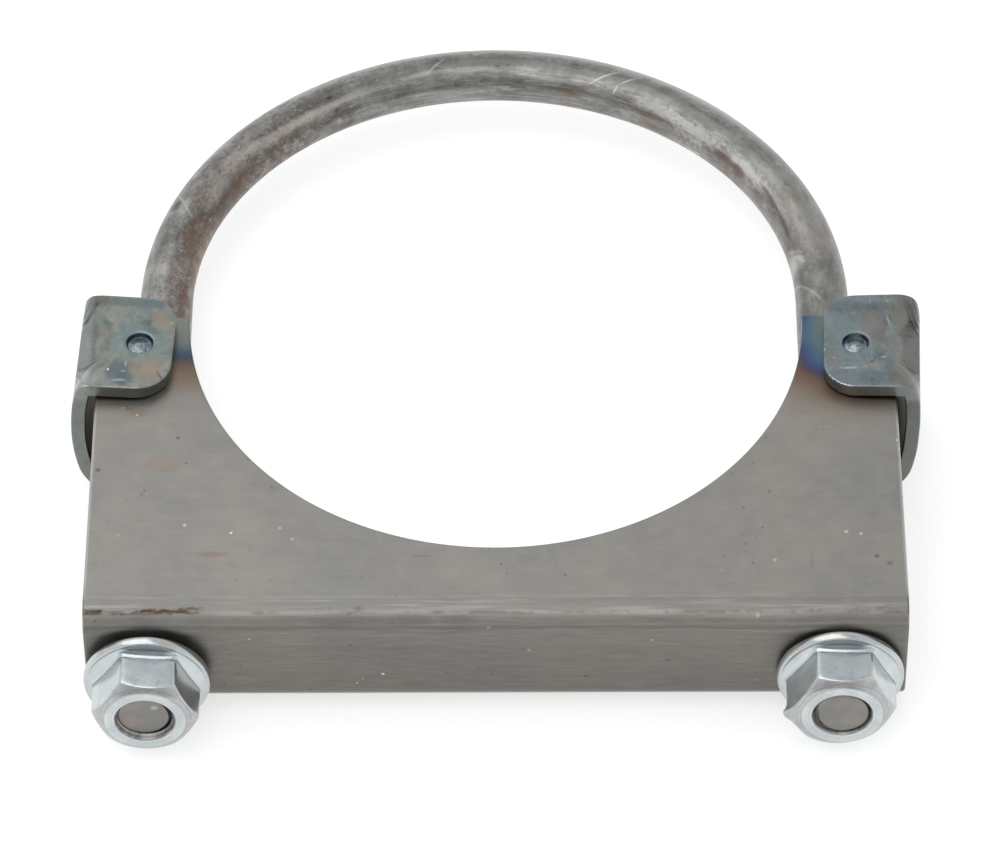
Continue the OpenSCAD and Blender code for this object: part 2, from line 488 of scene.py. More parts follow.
# ---- bare rolled sheet of the saddle
g = Mat("saddle_steel")
fine = g.noise(2.2, 5, 0.65)
broad = g.noise(0.05, 3, 0.5, seed=11)
mid = g.noise(0.35, 4, 0.6, seed=4)
grain = g.noise(1.6, 4, 0.7, stretch=(0.12, 1.0, 1.0), seed=3)      # rolling lines along X
pits = g.cells(0.55, seed=2)
top = g.step(g.z, 8.6, 9.3)
web = g.step(g.y, -57.0, -57.45)
base = g.mix(g.step(broad, 0.35, 0.65), rgb(137, 135, 131), rgb(146, 142, 135))
base = g.mix(g.mul(g.step(mid, 0.45, 0.75), 0.36), base, rgb(153, 151, 146))
base = g.mix(g.mul(g.step(mid, 0.45, 0.22), 0.36), base, rgb(124, 123, 118))
base = g.mix(g.mul(g.step(grain, 0.5, 0.72), 0.12), base, rgb(166, 163, 158))
base = g.mix(g.mul(g.step(grain, 0.46, 0.28), 0.14), base, rgb(111, 110, 104))
# painted highlight: a light line along the side edges of the top, fading out toward the front
base = g.mix(hold(g, g.step(g.op("ABSOLUTE", g.x), 57.3, 57.6), top, g.step(g.y, -56.0, -50.0), 0.45), base, rgb(202, 201, 197))
# small dark pits and a few pale specks
base = g.mix(hold(g, g.step(pits, 0.16, 0.07), g.step(g.noise(0.12, 2, 0.5, seed=9), 0.5, 0.62), 0.55), base, rgb(93, 86, 80))
base = g.mix(hold(g, g.step(g.cells(0.22, seed=21), 0.085, 0.04), g.step(g.noise(0.1, 2, 0.5, seed=29), 0.5, 0.6), 0.55), base, rgb(214, 209, 200))
# painted shade: the web is a little darker and warmer than the top. It is darker still towards its lower edge.
base = g.mix(g.mul(web, 0.34), base, rgb(100, 97, 90))
base = g.mix(g.mul(web, g.mul(g.step(g.z, 2.0, -9.0), 0.12)), base, rgb(95, 91, 83))
# marks of the bending tool along the fold, with painted shade on the fold's upper part and in a groove low on the fold
ft = g.op("ARCTAN2", g.sub(-53.6, g.y), g.sub(g.z, 5.5))           # the fold's angle, 0 at the top, pi/2 at the web
onf = hold(g, g.step(g.y, -53.0, -53.8), g.step(g.z, 4.8, 5.6))
wob = g.mul(g.sub(g.noise(0.03, 3, 0.6, seed=7), 0.5), 0.25)
line1 = hold(g, g.step(g.op("ABSOLUTE", g.add(g.sub(ft, 0.66), wob)), 0.10, 0.03), onf)
line2 = hold(g, g.step(g.op("ABSOLUTE", g.add(g.sub(ft, 1.20), wob)), 0.14, 0.03), onf)
scr = g.step(g.noise(0.9, 3, 0.75, stretch=(0.05, 1.0, 1.0), seed=13), 0.52, 0.7)
# painted shade: the upper part of the fold is darkened, toning down its sheen
base = g.mix(hold(g, onf, g.step(ft, 0.02, 0.20), g.step(ft, 0.70, 0.52), 0.6), base, rgb(106, 104, 100))
base = g.mix(hold(g, onf, scr, 0.22), base, rgb(180, 179, 175))
base = g.mix(hold(g, onf, g.step(scr, 0.5, 0.1), g.step(grain, 0.5, 0.4), 0.15), base, rgb(100, 98, 94))
# painted shade in the shallow groove low on the fold, which is also bumped below
base = g.mix(g.mul(line2, 0.3), base, rgb(95, 93, 89))
broken = g.step(g.noise(0.16, 4, 0.7, stretch=(1.0, 0.35, 1.0), seed=5), 0.47, 0.6)
base = g.mix(hold(g, line1, broken, 0.45), base, rgb(89, 83, 77))
# painted shade: the whole web is darkened further
base = g.mix(g.mul(web, 0.2), base, rgb(40, 40, 38))
# a painted light band on the top of the web, just under the fold, and the web finely scratched along X
base = g.mix(hold(g, web, g.step(g.add(g.z, g.mul(wob, 1.5)), 3.1, 3.35), 0.07), base, rgb(160, 157, 153))
wgr = g.noise(2.6, 3, 0.7, stretch=(0.10, 1.0, 1.0), seed=83)
base = g.mix(hold(g, web, g.step(wgr, 0.52, 0.66), 0.2), base, rgb(146, 143, 139))
base = g.mix(hold(g, web, g.step(wgr, 0.48, 0.34), 0.2), base, rgb(86, 84, 80))
# brown rust along the fold, dense at the left, broken toward the right
leftness = g.step(g.x, -38.0, -46.0)
rustn = g.noise(0.5, 5, 0.7, stretch=(0.5, 1.3, 1.3), seed=31)
near1 = hold(g, g.step(g.op("ABSOLUTE", g.add(g.sub(ft, 0.64), g.mul(g.sub(rustn, 0.5), 0.7))), 0.17, 0.04), onf)
base = g.mix(hold(g, near1, leftness, g.step(rustn, 0.40, 0.56), 0.8), base, rgb(110, 84, 65))
rare = g.step(g.noise(0.11, 3, 0.6, stretch=(1.0, 0.2, 1.0), seed=45), 0.54, 0.66)
base = g.mix(hold(g, near1, rare, g.step(rustn, 0.45, 0.6), 0.6), base, rgb(92, 78, 67))
rightness = g.step(g.x, 44.0, 50.0)
base = g.mix(hold(g, near1, rightness, g.step(rustn, 0.40, 0.55), 0.6), base, rgb(104, 88, 77))


def wspot(px, py, r, k, col, n=None):
    """A small spot on the web."""
    c = seen(px, py, 1, -57.6)
    return g.mix(hold(g, g.blob(g.x, g.z, float(c[0]), float(c[2]), r, r * 0.9, 0.5, 0.0, rustn, 0.8), web, k), base, rgb(*col))


for q in ((383, 674, 0.22, 0.8, (214, 212, 208)), (357, 683, 0.16, 0.6, (196, 192, 186)), (363, 679, 0.12, 0.6, (190, 186, 180)), (249, 639, 0.18, 0.6, (186, 184, 180)),
          (586, 676, 0.3, 0.5, (62, 60, 58)), (668, 660, 0.25, 0.5, (66, 64, 62)), (350, 645, 0.3, 0.35, (74, 72, 70)), (652, 640, 0.2, 0.5, (196, 194, 190))):
    base = wspot(*q)
for px, py, rx, ry, k, col in ((890, 563, 3.5, 2.0, 0.5, (96, 80, 70)), (877, 556, 2.4, 1.5, 0.6, (84, 72, 62)),
                               (212, 554, 13, 2.6, 0.45, (124, 102, 80)), (160, 463, 20, 5, 0.26, (136, 114, 92)), (172, 468, 9, 3, 0.2, (128, 108, 80)),
                               (138, 412, 9, 5, 0.35, (116, 92, 80)), (128, 409, 4, 2, 0.35, (104, 72, 56)), (178, 438, 1.6, 1.2, 0.7, (74, 64, 58)),
                               (98, 470, 2.4, 1.6, 0.6, (78, 72, 66)), (420, 556, 9, 1.0, 0.35, (92, 88, 84)), (812, 560, 1.2, 9, 0.3, (100, 96, 92)),
                               (231, 533, 1.3, 1.1, 0.8, (205, 202, 196)), (137, 415, 1.2, 1.0, 0.6, (194, 188, 180)), (123, 408, 1.1, 0.9, 0.5, (186, 178, 170)),
                               (897, 440, 1.0, 0.9, 0.6, (210, 208, 204)), (899, 449, 0.8, 1.2, 0.5, (206, 204, 200))):
    base = g.mix(g.mul(hold(g, spot(g, px, py, rx, ry, 9.5, 0.45, 0.0, rustn, 0.9), top), k), base, lift(col, 1.25))
# warm stain over the whole width behind the brackets
base = g.mix(hold(g, top, g.step(g.y, -22.0, -17.0), g.step(broad, 0.4, 0.6), 0.25), base, rgb(144, 127, 111))

# heat tint round the weld of each ear; h is the distance from the weld's middle, warped a little
wn = g.noise(0.22, 3, 0.55, seed=51)
wx = g.mul(g.sub(wn, 0.5), 2.4)


def tint(g, base, cx, cy, kx, ky, stops, side):
    dx, dy = g.mul(g.sub(g.x, cx), kx), g.mul(g.sub(g.y, cy), ky)
    d = g.add(g.op("SQRT", g.add(g.mul(dx, dx), g.mul(dy, dy))), wx)
    d = g.mul(d, 1 / 24.0)
    col = g.ramp(d, stops)
    near = g.step(d, 0.80, 0.52)
    here = g.step(g.mul(g.x, side), 20.0, 25.0)
    return g.mix(hold(g, near, here, g.step(g.z, 6.0, 7.2), 0.9), base, col)


base = tint(g, base, 52.6, -3.5, 1.0, 1.0,
            [(0.0, rgb(112, 118, 116)), (0.235, rgb(100, 116, 112)), (0.27, rgb(88, 116, 120)), (0.31, rgb(72, 102, 124)), (0.355, rgb(58, 80, 118)), (0.39, rgb(60, 66, 102)),
             (0.42, rgb(78, 66, 80)), (0.455, rgb(102, 80, 70)), (0.52, rgb(116, 96, 80)), (0.61, rgb(126, 114, 102)), (0.75, rgb(128, 122, 116))], 1.0)
base = tint(g, base, -50.5, 0.3, 0.35, 1.0,
            [(0.0, rgb(130, 126, 120)), (0.08, rgb(122, 124, 118)), (0.20, rgb(108, 116, 110)), (0.265, rgb(84, 102, 106)), (0.315, rgb(60, 76, 92)), (0.355, rgb(62, 66, 80)),
             (0.40, rgb(96, 80, 70)), (0.46, rgb(112, 93, 77)), (0.55, rgb(124, 110, 96)), (0.66, rgb(130, 124, 116))], -1.0)

rough = g.add(0.36, g.mul(g.sub(mid, 0.5), 0.16))
rough = g.lerp(web, rough, g.add(0.44, g.mul(g.sub(mid, 0.5), 0.14)))
rough = g.lerp(hold(g, near1, leftness, g.step(rustn, 0.36, 0.55)), rough, 0.8)
h1 = g.add(g.mul(fine, 0.35), g.mul(grain, 0.65))
nb = g.bump(h1, 0.16, 0.00006)
nb = g.bump(g.noise(0.12, 2, 0.4, seed=61), 0.12, 0.0009, nb)
nb = g.bump(g.mul(g.add(line2, g.mul(line1, 0.3)), -1.0), 0.3, 0.00008, nb)
steel = g.done(base, rough, 1.0, nb)

# ---- scaled strip of the brackets
g = Mat("bracket_steel")
n1 = g.noise(0.28, 4, 0.6, seed=3)
n2 = g.noise(0.7, 5, 0.7, seed=8)
n3 = g.noise(2.6, 4, 0.7, seed=12)
lines = g.noise(1.2, 3, 0.6, stretch=(1.0, 0.12, 1.0), seed=6)
left = g.step(g.x, 1.0, -1.0)
plate = g.step(g.z, 10.9, 11.4)
base = g.mix(left, rgb(123, 132, 134), rgb(132, 138, 132))
base = g.mix(g.mul(g.step(n1, 0.52, 0.66), 0.6), base, g.mix(left, rgb(143, 150, 148), rgb(148, 146, 136)))
base = g.mix(g.mul(g.step(n1, 0.46, 0.34), 0.65), base, rgb(99, 106, 102))
base = g.mix(g.mul(g.step(n2, 0.58, 0.72), 0.4), base, rgb(164, 167, 162))
base = g.mix(g.mul(g.step(n2, 0.42, 0.30), 0.45), base, rgb(79, 83, 81))
base = g.mix(g.mul(g.step(lines, 0.55, 0.7), 0.25), base, rgb(157, 164, 162))
base = g.mix(g.mul(g.step(g.noise(0.45, 5, 0.72, seed=41), 0.50, 0.62), 0.45), base, g.mix(left, rgb(128, 118, 108), rgb(132, 126, 112)))
base = g.mix(g.mul(g.step(g.noise(0.5, 5, 0.72, seed=43), 0.51, 0.63), 0.45), base, rgb(100, 114, 118))
base = g.mix(g.mul(g.step(g.noise(1.3, 5, 0.75, seed=47), 0.54, 0.66), 0.35), base, rgb(78, 82, 80))


def patch(base, px, py, rx, ry, k, col, soft=0.35, amount=1.0, n=None, turn=0.0):
    m_ = hold(g, spot(g, px, py, rx, ry, 11.8, soft, turn, n if n is not None else n2, amount), plate)
    return g.mix(g.mul(m_, k), base, lift(col, 1.12))


# left plate
for q in ((161, 318, 10, 8, 0.45, (136, 120, 106)), (166, 325, 6, 5, 0.35, (150, 130, 112)), (145, 368, 17, 13, 0.55, (136, 124, 110)), (152, 372, 10, 7, 0.35, (146, 128, 110)),
          (104, 330, 7, 16, 0.55, (84, 88, 78)), (98, 318, 5, 8, 0.4, (86, 90, 80)), (117, 372, 12, 12, 0.7, (88, 98, 106)), (124, 378, 8, 7, 0.4, (80, 90, 100)),
          (128, 303, 26, 4, 0.6, (96, 104, 104)), (155, 304, 10, 5, 0.6, (92, 108, 112)), (130, 335, 9, 14, 0.4, (96, 110, 110)), (92, 340, 6, 28, 0.45, (132, 136, 130)),
          (92, 375, 4, 9, 0.35, (152, 160, 162)), (100, 300, 10, 4, 0.5, (90, 88, 78))):
    base = patch(base, *q)
base = patch(base, 108, 370, 1.1, 1.0, 0.9, (208, 212, 212), 0.3, 0.3)
base = patch(base, 125.5, 364, 0.8, 3.2, 0.5, (170, 178, 182), 0.5, 0.9)
base = patch(base, 123, 371.5, 2.2, 0.9, 0.4, (164, 174, 180), 0.5, 1.3, n3)
base = patch(base, 118, 380.5, 6.5, 1.2, 0.5, (168, 174, 176), 0.5, 3.2, n3)
base = patch(base, 171.5, 322.5, 1.3, 1.1, 0.5, (176, 154, 132), 0.4, 0.8)
base = patch(base, 160, 376, 1.4, 5.0, 0.5, (70, 70, 64), 0.4, 1.0, n2, 0.5)
# right plate
for q in ((902, 342, 13, 50, 0.6, (118, 114, 106)), (872, 328, 17, 17, 0.7, (118, 112, 106)), (866, 340, 12, 9, 0.45, (122, 112, 104)), (840, 326, 22, 14, 0.6, (112, 124, 124)), (848, 306, 26, 5, 0.55, (92, 102, 106)),
          (880, 306, 10, 5, 0.5, (86, 94, 100)), (845, 375, 24, 9, 0.6, (108, 118, 124)), (872, 378, 12, 8, 0.5, (88, 100, 106)), (833, 355, 12, 9, 0.4, (116, 112, 108)),
          (893, 372, 6, 16, 0.35, (104, 102, 94)), (899, 340, 4, 30, 0.35, (120, 114, 106)), (884, 318, 8, 5, 0.3, (96, 96, 94))):
    base = patch(base, *q)
for q in ((889, 320, 0.9, 5.0, 0.5, (188, 192, 192), 0.5, 1.0, n2, 0.30), (892, 334, 1.2, 8.0, 0.6, (182, 188, 190), 0.5, 1.2, n3, 0.0),
          (890, 346, 1.3, 5.5, 0.6, (186, 190, 192), 0.5, 1.4, n3, -0.35), (884, 355, 1.4, 3.4, 0.5, (176, 184, 188), 0.5, 1.4, n3, -0.8),
          (849, 367.5, 7.5, 0.9, 0.55, (176, 182, 186), 0.5, 3.2, n3), (824, 348.5, 1.1, 1.0, 0.7, (196, 202, 206), 0.4, 0.4), (834, 357, 1.1, 0.9, 0.4, (176, 182, 186), 0.4, 0.4),
          (872, 362, 1.2, 1.0, 0.8, (62, 66, 68), 0.4, 0.3), (872, 380, 1.5, 1.2, 0.6, (60, 64, 66), 0.4, 0.3), (887, 302, 1.4, 0.9, 0.4, (170, 172, 172), 0.4, 0.6),
          (868, 302, 0.7, 6.0, 0.35, (72, 74, 72), 0.4, 1.0, n3), (893, 306, 1.2, 5.0, 0.35, (78, 76, 72), 0.4, 1.2, n3)):
    base = patch(base, *q)
# brown haze and a reddish spot on the right bend
bendr = hold(g, g.step(g.x, 57.6, 58.8), g.inv(left))
base = g.mix(hold(g, bendr, g.step(g.add(g.mul(n1, 0.5), g.mul(n2, 0.5)), 0.36, 0.54), 0.72), base, rgb(126, 121, 112))
c = seen(908, 368, 2, 10.6)
base = g.mix(hold(g, g.blob(g.y, g.z, float(c[1]), 10.6, 1.6, 0.8, 0.6, 0.0, n2, 1.0), bendr, 0.3), base, rgb(126, 96, 84))
# a painted highlight: a soft light band on the left bend
left_bend_sheen = hold(g, g.step(g.x, -58.2, -59.2), g.step(g.x, -61.6, -60.6), g.step(g.z, 8.0, 10.0))
base = g.mix(g.mul(left_bend_sheen, 0.45), base, rgb(185, 192, 190))
# a painted highlight: a bright line, broken, along the right plate's rounded front corner
corner_glint = hold(g, g.step(g.z, 11.3, 11.6), g.step(g.x, 51.8, 50.6), g.step(g.x, 46.0, 47.4), g.step(g.y, -13.0, -14.2), g.step(g.nz, 0.97, 0.80), g.step(n3, 0.44, 0.52), g.inv(left))
base = g.mix(g.mul(corner_glint, 0.8), base, rgb(205, 210, 212))
# weld pits: a blue halo round each, a dark blue ring on the pit's wall, a mottled grey-blue floor
for cx, cy, rr in ((-51.6, -7.0, 2.05), (52.1, -7.4, 2.0)):
    d = g.op("SQRT", g.add(g.mul(g.sub(g.x, cx), g.sub(g.x, cx)), g.mul(g.sub(g.y, cy), g.sub(g.y, cy))))
    halo = hold(g, g.step(d, rr + 2.6, rr + 0.4), plate, 0.35)
    base = g.mix(halo, base, rgb(113, 136, 143))
    pit = g.step(d, rr + 0.05, rr - 0.1)
    floor_ = g.step(d, rr - 0.25, rr - 0.5)
    base = g.mix(g.mul(pit, g.step(g.z, 11.78, 11.6)), base, rgb(53, 67, 88))
    base = g.mix(g.mul(floor_, g.step(g.z, 11.78, 11.6)), base, g.mix(g.step(n3, 0.42, 0.6), rgb(104, 114, 118), rgb(150, 160, 164)))
# the cut front and rear faces are dark
cut = g.mul(g.step(g.op("ABSOLUTE", g.ny), 0.75, 0.95), 1.0)
base = g.mix(g.mul(cut, 0.5), base, g.mix(left, rgb(108, 112, 106), rgb(104, 108, 104)))
base = g.mix(hold(g, cut, g.step(n2, 0.5, 0.7), 0.4), base, rgb(123, 125, 123))
base = g.mix(hold(g, cut, g.inv(left), g.step(g.z, 8.4, 9.8), 0.4), base, rgb(168, 175, 176))
inner = hold(g, g.step(g.z, 9.3, 8.9), g.step(g.nx, 0.3, 0.7), left)
base = g.mix(hold(g, inner, g.step(n2, 0.45, 0.6), 0.7), base, rgb(109, 79, 55))
rough = g.add(0.33, g.mul(g.sub(n1, 0.5), 0.5))
nb = g.bump(g.add(g.mul(n3, 0.3), g.mul(n2, 0.7)), 0.28, 0.00012)
nb = g.bump(n1, 0.12, 0.0006, nb)
strip = g.done(base, rough, 1.0, nb)

# ---- rod of the U-bolt, with mill scale, rust and rubbed marks
AX, AY, AZ_, AR, RR = -0.34, 13.9, -2.0, 48.77, 3.9
g = Mat("rod_steel")
n1 = g.noise(0.22, 4, 0.6, seed=5)
n2 = g.noise(0.75, 5, 0.72, seed=15)
n3 = g.noise(2.4, 4, 0.7, seed=25)
yc = g.op("MAXIMUM", g.sub(g.y, AY), 0.0)                      # the legs run straight on below the arch's centre
ang = g.op("ARCTAN2", yc, g.sub(g.x, AX))                      # 0 at the right, pi/2 at the top of the arch
rad = g.op("SQRT", g.add(g.mul(g.sub(g.x, AX), g.sub(g.x, AX)), g.mul(yc, yc)))
down = g.op("MAXIMUM", g.sub(AY, g.y), 0.0)
along = g.sub(g.mul(ang, AR), g.mul(down, g.op("SIGN", g.x)))
crossv = g.sub(rad, AR)
arc = g.step(g.y, 2.0, 4.0)
tube = g.vec(along, crossv, g.z)
streak = g.noise(0.9, 4, 0.65, v=tube, stretch=(0.28, 1.0, 1.0), seed=2)
fleck = g.noise(1.5, 5, 0.8, v=tube, stretch=(0.7, 1.0, 1.0), seed=66)
leftside = g.step(along, 84.0, 104.0)
base = g.mix(g.step(n1, 0.36, 0.64), rgb(121, 120, 116), rgb(142, 141, 138))
base = g.mix(g.mul(g.step(n2, 0.55, 0.70), g.lerp(leftside, 0.35, 0.6)), base, rgb(170, 169, 166))
base = g.mix(g.mul(g.step(n2, 0.45, 0.33), g.lerp(leftside, 0.35, 0.6)), base, rgb(88, 85, 80))
base = g.mix(g.mul(g.step(streak, 0.54, 0.68), 0.26), base, rgb(170, 169, 165))
base = g.mix(g.mul(g.step(streak, 0.46, 0.32), 0.26), base, rgb(96, 93, 88))
soft_ = g.noise(0.5, 5, 0.7, v=tube, stretch=(0.5, 1.0, 1.0), seed=72)
base = g.mix(g.mul(g.step(soft_, 0.53, 0.66), 0.4), base, rgb(166, 165, 162))
base = g.mix(g.mul(g.step(soft_, 0.47, 0.34), 0.4), base, rgb(98, 95, 90))
base = g.mix(hold(g, g.step(g.cells(0.9, seed=3), 0.2, 0.08), g.step(n1, 0.44, 0.6), 0.6), base, rgb(66, 62, 57))


def on_rod(px, py):
    """Along and across the arch, where the line of sight through a pixel first meets the rod."""
    hit = None
    for k in range(400):
        z = AZ_ + RR - 0.02 * k
        c = seen(px, py, 2, z)
        if (math.hypot(c[0] - AX, max(c[1] - AY, 0.0)) - AR) ** 2 + (z - AZ_) ** 2 <= RR * RR:
            hit = c
            break
    if hit is None:
        hit = seen(px, py, 2, AZ_)
    up_ = max(hit[1] - AY, 0.0)
    a_ = math.atan2(up_, hit[0] - AX) * AR - max(AY - hit[1], 0.0) * (1 if hit[0] > 0 else -1)
    return a_, math.hypot(hit[0] - AX, up_) - AR


upside = g.step(g.z, -4.2, -3.0)
grit = g.noise(1.1, 6, 0.85, v=tube, stretch=(0.6, 1.0, 1.0), seed=88)
blot = g.noise(0.42, 5, 0.75, v=tube, stretch=(0.7, 1.0, 1.0), seed=91)


def mark(base, px, py, ra, rc, k, col, soft=0.35, n=None, amount=1.0, turn=0.0):
    """A mark on the arch, placed by the picture's pixels: ra along the rod, rc across it, in millimetres."""
    a_, c_ = on_rod(px, py)
    m_ = hold(g, g.blob(along, crossv, a_, c_, ra, rc, soft, turn, n2 if n is None else n, amount), arc, upside)
    return g.mix(g.mul(m_, k), base, lift(col, 1.15))


def scratch(base, p0, p1, half, k, col, soft=0.45, n=None, amount=0.8):
    """A straight mark between two of the picture's pixels."""
    (a0, c0), (a1, c1) = on_rod(*p0), on_rod(*p1)
    m_ = hold(g, g.blob(along, crossv, (a0 + a1) / 2, (c0 + c1) / 2, math.hypot(a1 - a0, c1 - c0) / 2, half, soft,
                        math.atan2(c1 - c0, a1 - a0), n3 if n is None else n, amount), arc, upside)
    return g.mix(g.mul(m_, k), base, lift(col, 1.15))


# painted light on the top of the arch: a highlight band along its outer side, a painted shade band across its middle,
# and a thin painted highlight with dark streaks along its inner edge
topa = hold(g, g.step(along, 22.0, 40.0), g.step(along, 122.0, 104.0), arc)
sv = g.add(crossv, g.mul(g.sub(n2, 0.5), 2.0))
base = g.mix(hold(g, topa, g.step(sv, 0.5, 1.4), 0.5), base, rgb(182, 181, 177))
base = g.mix(hold(g, topa, g.step(sv, 0.4, -0.4), g.step(sv, -2.1, -1.3), 0.42), base, rgb(84, 83, 80))
thin = g.noise(1.6, 3, 0.7, v=tube, stretch=(0.12, 1.0, 1.0), seed=52)
base = g.mix(hold(g, topa, g.step(crossv, -1.6, -2.2), g.step(thin, 0.52, 0.62), 0.34), base, rgb(186, 184, 180))
base = g.mix(hold(g, topa, g.step(crossv, -1.6, -2.2), g.step(thin, 0.48, 0.38), 0.3), base, rgb(92, 89, 84))
# brown rust low on the inside at the left, a little on the right
inl = hold(g, g.step(along, 98.0, 116.0), g.step(crossv, 0.4, -1.4), arc)
base = g.mix(hold(g, inl, g.step(n2, 0.42, 0.56), 0.72), base, rgb(98, 80, 67))
inl2 = hold(g, g.step(along, 112.0, 132.0), g.step(crossv, 1.8, -0.6), arc)
base = g.mix(hold(g, inl2, g.step(g.noise(0.5, 5, 0.75, seed=77), 0.49, 0.6), 0.6), base, rgb(116, 86, 70))
inr = hold(g, g.step(along, 70.0, 30.0), g.step(crossv, -1.6, -3.0), arc)
base = g.mix(hold(g, inr, g.step(n2, 0.45, 0.6), 0.35), base, rgb(112, 98, 86))
# pale flecks where the scale is rubbed off, mostly at the left
base = g.mix(hold(g, g.step(blot, 0.53, 0.62), leftside, 0.4), base, rgb(166, 163, 158))
base = g.mix(hold(g, g.step(blot, 0.47, 0.38), leftside, 0.45), base, rgb(92, 87, 80))
base = g.mix(hold(g, g.step(grit, 0.58, 0.66), leftside, g.step(crossv, 3.2, 1.0), 0.6), base, rgb(194, 189, 182))
base = g.mix(hold(g, g.step(fleck, 0.60, 0.68), leftside, 0.5), base, rgb(190, 186, 180))
base = g.mix(hold(g, g.step(grit, 0.42, 0.34), g.lerp(leftside, 0.2, 0.5)), base, rgb(80, 75, 69))
# pale marks on the arch: the streak from (284, 130) to (350, 98) and the patches at (662, 112), (694, 130) and (747,
# 169) are painted highlights along the rod; the others are rubbed pale flecks
for q in ((284, 130, 6.0, 0.55, 0.42, (196, 189, 182), 0.6, grit, 3.4), (318, 112, 5.0, 0.45, 0.38, (198, 191, 184), 0.6, grit, 3.4), (350, 98, 6.0, 0.4, 0.22, (188, 184, 178), 0.6, grit, 3.4),
          (236, 160, 3.4, 1.0, 0.4, (194, 186, 178), 0.6, grit, 4.5), (218, 186, 3.4, 1.0, 0.35, (188, 181, 174), 0.6, grit, 4.5), (184, 206, 2.0, 0.6, 0.45, (196, 194, 190), 0.6, grit, 3.4),
          (254, 146, 2.2, 0.5, 0.4, (196, 192, 188), 0.6, grit, 3.4), (160, 270, 2.4, 1.4, 0.35, (190, 188, 184), 0.6, grit, 3.4), (470, 69, 3.6, 0.3, 0.2, (190, 190, 188), 0.6, grit, 3.4),
          (424, 74, 3.4, 0.3, 0.2, (186, 186, 186), 0.6, grit, 3.4), (694, 130, 4.6, 0.6, 0.6, (206, 204, 202), 0.6, grit, 3.6), (747, 169, 5.6, 0.6, 0.65, (212, 210, 208), 0.6, grit, 3.6),
          (662, 112, 4.6, 0.5, 0.45, (198, 197, 195), 0.6, grit, 3.6), (796, 262, 1.8, 0.9, 0.5, (200, 198, 196), 0.6, grit, 2.4), (775, 199, 6.0, 0.4, 0.35, (198, 196, 194), 0.6, grit, 3.2)):
    base = mark(base, *q)
for q in ((724, 158, 2.0, 0.34, 0.7, (104, 86, 74), 0.4, grit, 3.0), (738, 170, 1.7, 0.32, 0.75, (96, 78, 68), 0.4, grit, 3.0), (570, 92, 1.8, 0.16, 0.5, (128, 98, 82), 0.5, grit, 2.4),
          (651, 116, 2.8, 0.22, 0.5, (112, 90, 78), 0.5, grit, 2.4), (222, 212, 6.0, 0.8, 0.5, (90, 76, 66), 0.6, grit, 3.0), (243, 178, 5.0, 0.8, 0.5, (94, 80, 70), 0.6, grit, 3.0),
          (196, 262, 6.0, 0.8, 0.5, (108, 84, 70), 0.6, grit, 3.0), (190, 236, 4.0, 0.6, 0.45, (100, 78, 64), 0.6, grit, 3.0), (834, 273, 2.6, 1.4, 0.45, (88, 86, 82), 0.6, grit, 3.0),
          (329, 98, 0.5, 0.22, 0.8, (60, 56, 52), 0.4, n2, 0.8), (337, 110, 0.5, 0.18, 0.7, (66, 60, 55), 0.4, n2, 0.8), (284, 105, 1.2, 0.2, 0.6, (74, 70, 64), 0.4, n2, 0.8),
          (348, 112, 2.0, 0.3, 0.45, (88, 80, 72), 0.5, grit, 2.4), (497, 66, 0.4, 0.16, 0.6, (70, 66, 62), 0.4, n2, 0.8), (508, 65, 0.35, 0.16, 0.6, (70, 66, 62), 0.4, n2, 0.8),
          (575, 68, 1.2, 0.16, 0.5, (84, 80, 76), 0.4, n2, 1.0), (815, 240, 3.0, 2.0, 0.25, (160, 144, 134), 0.6, grit, 2.4), (796, 205, 4.0, 1.6, 0.25, (150, 140, 126), 0.6, grit, 2.4),
          (175, 207, 1.0, 0.5, 0.7, (72, 70, 68), 0.4, n2, 0.8), (450, 75, 6.0, 0.6, 0.3, (92, 90, 87), 0.5, n2, 1.8)):
    base = mark(base, *q)
for q in (((760, 183), (791, 245), 0.14, 0.35, (204, 202, 199)), ((761, 184), (779, 214), 0.22, 0.8, (100, 82, 72)), ((777, 210), (791, 244), 0.17, 0.8, (96, 78, 68)),
          ((590, 84), (622, 72), 0.16, 0.45, (190, 190, 188)), ((613, 94), (618, 85), 0.16, 0.5, (196, 196, 194)), ((617, 86), (640, 78), 0.15, 0.4, (186, 186, 184)),
          ((596, 96), (622, 84), 0.5, 0.3, (104, 102, 99)), ((792, 290), (824, 302), 0.20, 0.28, (188, 187, 185)), ((791, 255), (800, 255), 0.25, 0.7, (70, 68, 65)),
          ((427, 74), (446, 58), 0.18, 0.28, (190, 190, 188)), ((179, 197), (191, 215), 0.22, 0.35, (196, 196, 194)), ((790, 252), (804, 262), 0.3, 0.4, (206, 204, 202))):
    base = scratch(base, *q)
base = g.mix(hold(g, g.step(grit, 0.46, 0.38), g.step(along, 92.0, 104.0), arc, 0.5), base, rgb(96, 91, 84))
# bright threads, dull sawn ends
thr = g.step(g.y, -33.0, -35.0)
base = g.mix(g.mul(thr, 0.6), base, rgb(151, 149, 145))
endf = g.step(g.y, -65.80, -65.86)
base = g.mix(g.mul(endf, 0.85), base, g.mix(g.step(n1, 0.4, 0.6), rgb(122, 122, 118), rgb(136, 129, 123)))
c = seen(154, 708, 1, -65.9)
base = g.mix(hold(g, endf, g.blob(g.x, g.z, float(c[0]), float(c[2]), 0.5, 0.35, 0.5, 0.0, n2, 0.6), 0.6), base, rgb(184, 184, 180))
c = seen(128, 722, 1, -65.9)
base = g.mix(hold(g, endf, g.blob(g.x, g.z, float(c[0]), float(c[2]), 1.6, 1.2, 0.6, 0.0, n2, 1.0), 0.4), base, rgb(152, 136, 128))
rough = g.add(0.36, g.mul(g.sub(n2, 0.5), 0.35))
nb = g.bump(g.add(g.mul(n3, 0.35), g.mul(n2, 0.65)), 0.30, 0.00014)
nb = g.bump(g.noise(0.16, 3, 0.5, seed=33), 0.30, 0.0008, nb)
